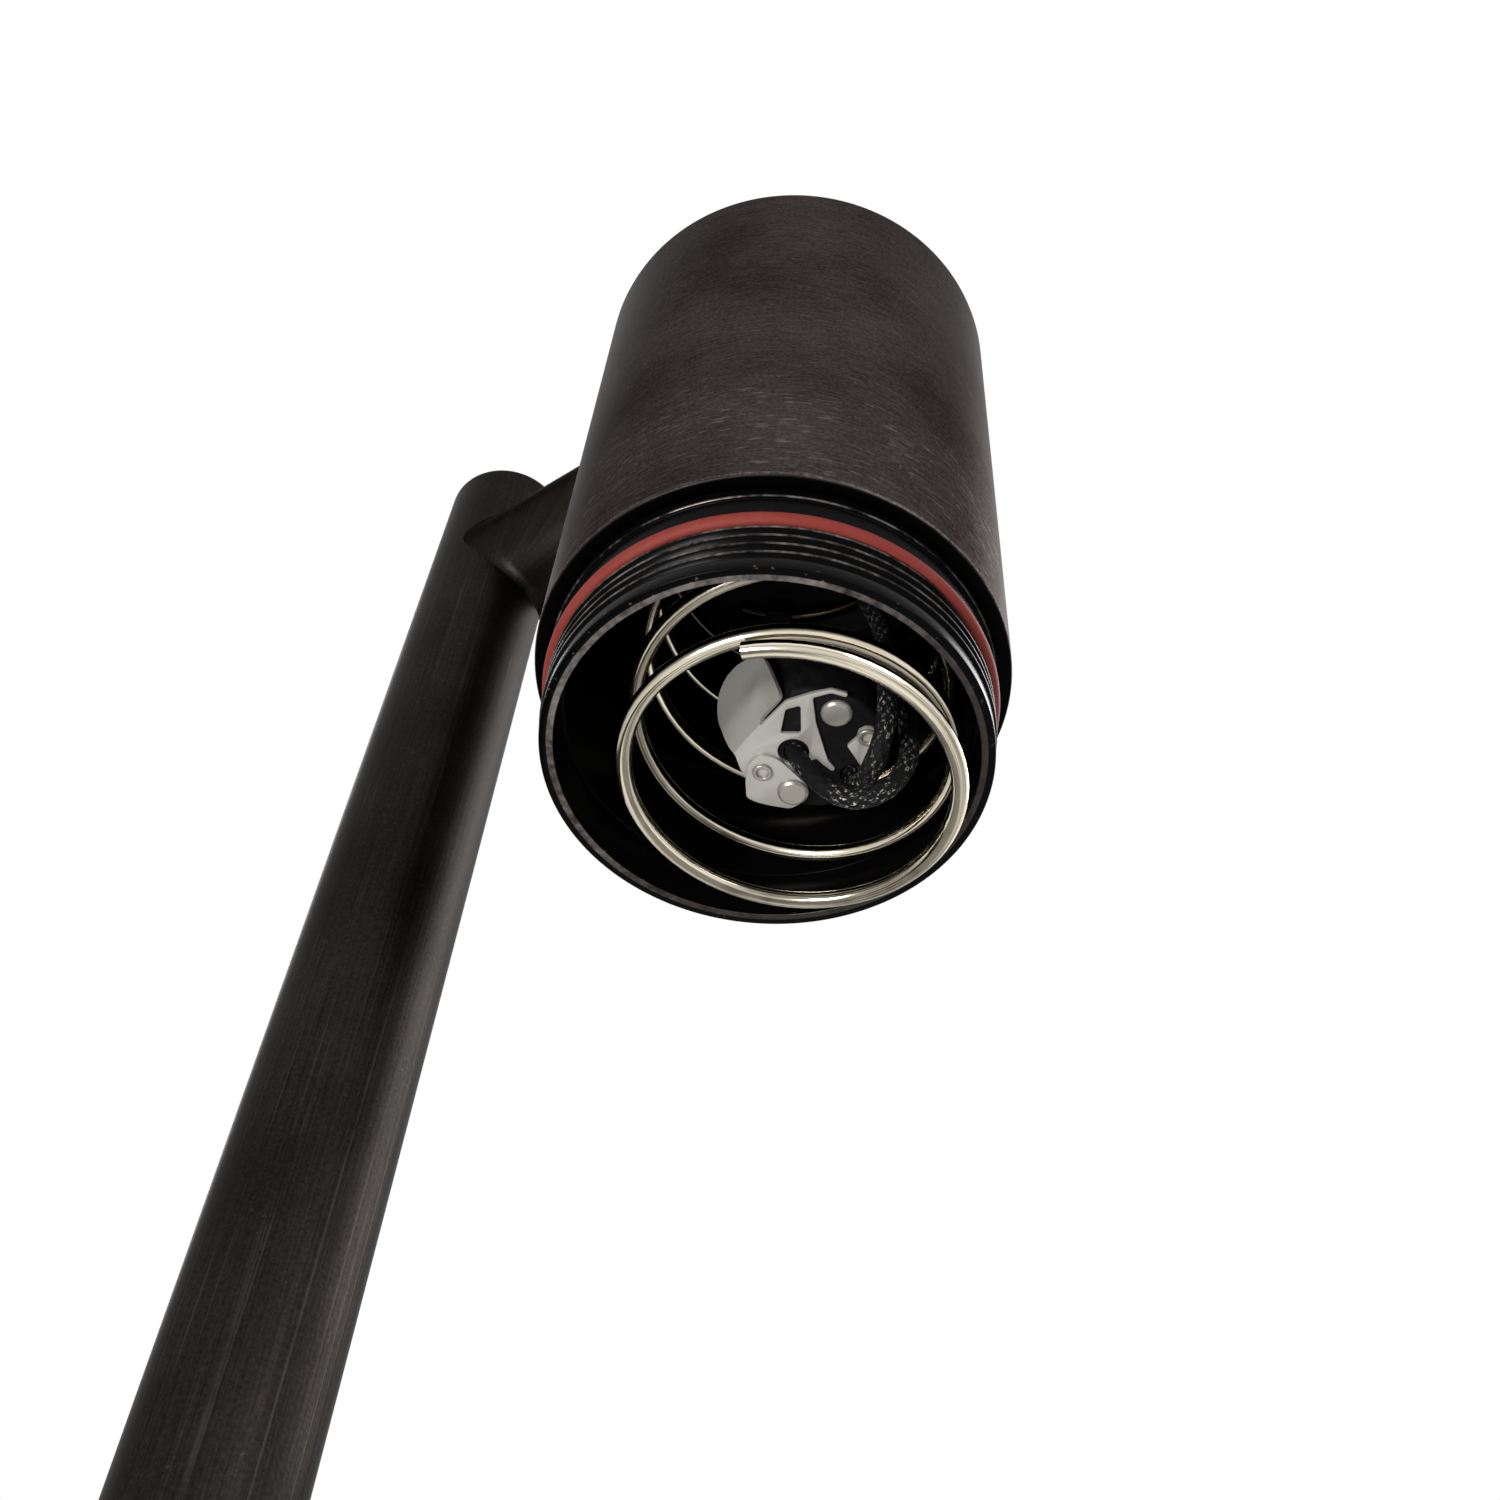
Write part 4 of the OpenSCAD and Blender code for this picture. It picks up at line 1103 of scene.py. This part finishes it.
@dataclass
class Leads(Assembly):
    """The two sleeved leads from the splices down to the lampholder, and the riser leads."""

    body: str | None = None
    thickness: float = 2.7 * MM
    turn: float = Lampholder.turn
    tops: tuple = (
        ((9.6, 2.8, 10), (9.6, 2.8, 8.5), (9.2, 1.2, 5.5), (8.4, -1.5, 2), (8.2, -1.9, -4)),
        ((0, -10, 10), (0, -10, 8.5), (1.6, -8.4, 6), (4.8, -5.2, 3.6), (5.7, -4.3, 0.5), (5.9, -4.1, -6)),
    )
    loops: tuple = (
        ((9.8, -1, 52), (12, -0.4, 44), (14.4, 0.2, 35), (16.6, 0.8, 26), (18, 1.1, 18), (18.5, 1, 11.5),
         (18.6, 0.8, 6), (18.3, 0.8, 3), (17.3, 1.1, 0.2), (15.6, 1.7, -1.9), (13.3, 2.5, -2.9),
         (10.9, 3.1, -2.6), (8.8, 3.4, -1.1), (6.8, 3.6, 1.2), (5, 3.9, 4.2), (3.8, 4.2, 7.4),
         (3.8, 4.2, 8.9)),
        ((7.2, -3.6, 52), (9.4, -3.7, 44), (11.8, -3.8, 35), (14.2, -3.7, 27), (15.1, -4.1, 19.5),
         (15.2, -4.1, 13), (15.2, -4.1, 7.4), (15.1, -3.7, 5.1), (14.7, -2.4, 3.1), (14.1, -0.6, 1.8),
         (13.4, 1.6, 1.4), (12.7, 3.9, 1.8), (12.1, 5.7, 3.1), (11.7, 7, 5.1), (11.6, 7.4, 7.4),
         (11.6, 7.4, 8.9)),
    )
    strands: int = Braid.strands
    slope: float = Braid.slope
    relief: float = 0.07 * MM

    def route(self, which: int) -> list[Vector]:
        """Reads the route of one lead, as the CAD solid has it.

        Args:
            which: 0 or 1, the lead.
        Returns:
            The route's points.
        """
        turn = about(self.turn)
        stretches = ((self.tops[which], self.levels.plate_top), (self.loops[which], self.levels.rim_z))
        return [turn @ (Vector(p) * MM) + Vector((self.levels.head_x, 0, height))
                for points, height in stretches for p in points]

    def build(self) -> None:
        """Sweeps both leads and dresses the riser leads."""
        for which in (0, 1):
            line = smooth_line(self.route(which), 0.16 * MM)
            path = Path(line)
            laps = path.length() / (math.pi * self.thickness)

            def skin(u: float, v: float, laps: float = laps) -> float:
                """The sleeve's radius with its woven relief."""
                left = math.sin(math.tau * self.strands * (u + v * laps * self.slope))
                right = math.sin(math.tau * self.strands * (u - v * laps * self.slope))
                return self.thickness / 2 - self.relief * (1 - (left + right) / 2) / 2

            mesh = path.tube(skin, 42)
            name = f"sleeved_lead_{which + 1}"
            log.info("%s: %.1f mm long", name, path.length() / MM)
            lead = self.piece(name, mesh, "black_sleeve", f"lead_{which + 1}")
            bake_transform(lead)
            path.length()
        self.dress(riser_lead_1="riser_sheath", riser_lead_2="riser_sheath")


@dataclass
class Stem(Assembly):
    """The stem with its closed top and the side arm brazed to it."""

    wall: float = 2.0 * MM
    cap_round: float = 1.8 * MM
    spigot: float = 5.0 * MM
    braze: float = 2.2 * MM
    head_braze: float = 1.0 * MM
    side_braze: float = 0.25
    sunk: float = 0.4 * MM
    play: float = 0.05 * MM
    facets: int = 144
    arm_wall: float = 2.0 * MM
    weep_r: float = 0.7 * MM
    weep_at: float = 7.3 * MM
    weep_turn: float = -108.0

    def build_stem(self) -> None:
        """Turns the tube and its cap."""
        at, inner = self.levels, self.levels.stem_r - self.wall
        spigot_r, spigot_z = inner - self.play, at.tube_top - self.spigot
        tube = [(at.stem_r, at.stem_foot, 0.3 * MM), (at.stem_r, at.tube_top), (inner, at.tube_top),
                (inner, at.stem_foot, 0.3 * MM)]
        cap = [(0, spigot_z), (spigot_r, spigot_z, 0.4 * MM), (spigot_r, at.tube_top),
               (at.stem_r, at.tube_top), (at.stem_r, at.stem_top, self.cap_round), (0, at.stem_top)]
        self.piece("stem_pipe", turned(tube, self.facets), "bronze_stem", "stem_tube")
        self.piece("stem_end", turned(cap, self.facets, 8), "bronze_stem", "stem_cap")

    def build_arm(self) -> None:
        """Rolls the arm between the stem and the head, with a braze fillet at both ends."""
        at, r = self.levels, self.levels.arm_r
        span = at.head_x - at.head_r - at.stem_r

        def fillet(distance: float, width: float) -> float:
            """How far a fillet of that width stands out at a distance from its root."""
            share = min(max(distance / width, 0.0), 1.0)
            return width * (1 - math.sqrt(1 - (1 - share) ** 2))

        def skin(u: float, v: float) -> Vector:
            """Finds a point of the arm's outer face.

            Args:
                u: the share round the arm.
                v: the share along it.
            Returns:
                The point.
            """
            angle = math.tau * u
            share = 0.5 - 0.5 * math.cos(math.pi * v)
            near = self.side_braze + (1 - self.side_braze) * math.cos(angle) ** 2
            out = r + fillet(share * span, self.braze) * near + fillet((1 - share) * span, self.head_braze)
            y, z = out * math.sin(angle), out * math.cos(angle)
            start = math.sqrt(max(at.stem_r**2 - y**2, 0.0)) - self.sunk
            end = at.head_x - math.sqrt(at.head_r**2 - y**2) + self.sunk
            return Vector((start + (end - start) * share, y, at.arm_z + z))

        mesh = rolled(96, 56, skin, caps=False)
        bmesh.ops.solidify(mesh, geom=list(mesh.faces), thickness=self.arm_wall)
        place = (shift(at.stem_r + self.weep_at, 0, at.arm_z) @ about(self.weep_turn, "X")
                 @ shift(0, 0, -1.2 * r))
        mesh = carve(outward(mesh), move(rod(self.weep_r, 2 * r, 24), place))
        self.piece("side_arm", mesh, "bronze_stem", "support_arm", finish="bronze_arm")

    def build(self) -> None:
        """Builds the stem and the arm."""
        self.build_stem()
        self.build_arm()


@dataclass
class StakeEnd(Assembly):
    """The stake, its insert, the nipple, the lock nut and the cable plug."""

    def build(self) -> None:
        """Dresses the nodes at the stem's foot."""
        self.dress(
            ground_stake="stake_plastic", stake_insert="plain_brass", stem_nipple="plain_brass",
            lock_nut="bronze_stem", cable_plug="black_rubber")


@dataclass
class Studio:
    """The camera, the lamps, the world and the floor."""

    levels: Levels
    lens: float = 42.594
    sensor: float = 36.0
    from_rim: Point = (86.63 * MM, -114.96 * MM, -176.05 * MM)
    heading: float = 37.851
    pitch: float = 51.025
    roll: float = 5.027
    floor_size: float = 8.0
    sky: float = 0.62
    lamps: tuple = (("key", (0.5, 1.0, 0.9), 0.8, 16.0), ("back", (-0.9, 0.5, 0.9), 0.7, 7.0),
                    ("fill", (1.2, -0.3, 0.1), 0.7, 6.0), ("near", (-0.02, -0.25, -0.23), 0.12, 1.6))

    def rim(self) -> Vector:
        """The middle of the open rim."""
        return Vector((self.levels.head_x, 0, self.levels.rim_z))

    def add_camera(self) -> None:
        """Places the camera below the head, looking up at the open collar."""
        data = bpy.data.cameras.new("camera")
        data.lens, data.sensor_width = self.lens, self.sensor
        data.clip_start, data.clip_end = 0.005, 50.0
        camera = add_object("camera", data)
        camera.matrix_world = (shift(*(self.rim() + Vector(self.from_rim))) @ about(self.heading)
                               @ about(90 + self.pitch, "X") @ about(self.roll))
        bpy.context.scene.camera = camera

    def add_lamp(self, name: str, place: Point, size: float, power: float) -> None:
        """Adds a soft square lamp that faces the head.

        Args:
            name: the lamp's name.
            place: where it stands, from the middle of the rim.
            size: the side of the square.
            power: its power in watts.
        """
        data = bpy.data.lights.new(name, "AREA")
        data.shape, data.size, data.energy = "SQUARE", size, power
        lamp = add_object(name, data)
        lamp.location = self.rim() + Vector(place)
        lamp.rotation_mode = "QUATERNION"
        lamp.rotation_quaternion = (-Vector(place)).to_track_quat("-Z", "Y")

    def add_world(self) -> None:
        """Makes a white surround for what the camera and the gloss see, and plain light for the rest."""
        s = Shader("surround", world=True)
        rays = s.node("ShaderNodeLightPath").socket.node.outputs
        seen = Value(s, rays["Is Camera Ray"])
        for ray in ("Is Glossy Ray", "Is Transmission Ray"):
            seen = seen.maths("MAXIMUM", seen, Value(s, rays[ray]))
        strength = s.node("ShaderNodeMapRange", inputs={"Value": seen, "To Min": self.sky, "To Max": 1.0})
        bpy.context.scene.world = s.close(
            s.node("ShaderNodeBackground", inputs={"Color": (1.0, 1.0, 1.0), "Strength": strength}))

    def add_floor(self) -> None:
        """Lays a pale floor just under the stake's tip; from below it is clear."""
        mesh = bmesh.new()
        bmesh.ops.create_grid(mesh, x_segments=1, y_segments=1, size=self.floor_size / 2)
        move(mesh, shift(0, 0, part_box("ground_stake")[0].z - 0.5 * MM))
        s = Shader("pale_floor")
        paint = s.node("ShaderNodeBsdfDiffuse", inputs={"Color": (0.70, 0.70, 0.69)})
        clear = s.node("ShaderNodeBsdfTransparent")
        back = s.node("ShaderNodeNewGeometry", out=6)
        floor = add_object("floor", as_data("floor", mesh))
        mixed = s.node("ShaderNodeMixShader", inputs={0: back, 1: paint, 2: clear})
        floor.data.materials.append(s.close(mixed))

    def build(self) -> None:
        """Sets the stage."""
        self.add_camera()
        self.add_world()
        self.add_floor()
        for lamp in self.lamps:
            self.add_lamp(*lamp)
        bpy.context.scene.view_settings.view_transform = "Standard"


def main() -> None:
    """Builds the light piece by piece."""
    logging.basicConfig(level=logging.INFO, format="%(message)s")
    levels = Levels()
    finishes = Finishes((levels.head_x, 0.0, 0.0), levels.rim_z)
    Studio(levels).build()
    for assembly in (Leads, Head, LampSpring, Lampholder, Stem, StakeEnd):
        assembly(levels, finishes).build()


if __name__ == "__main__":
    main()
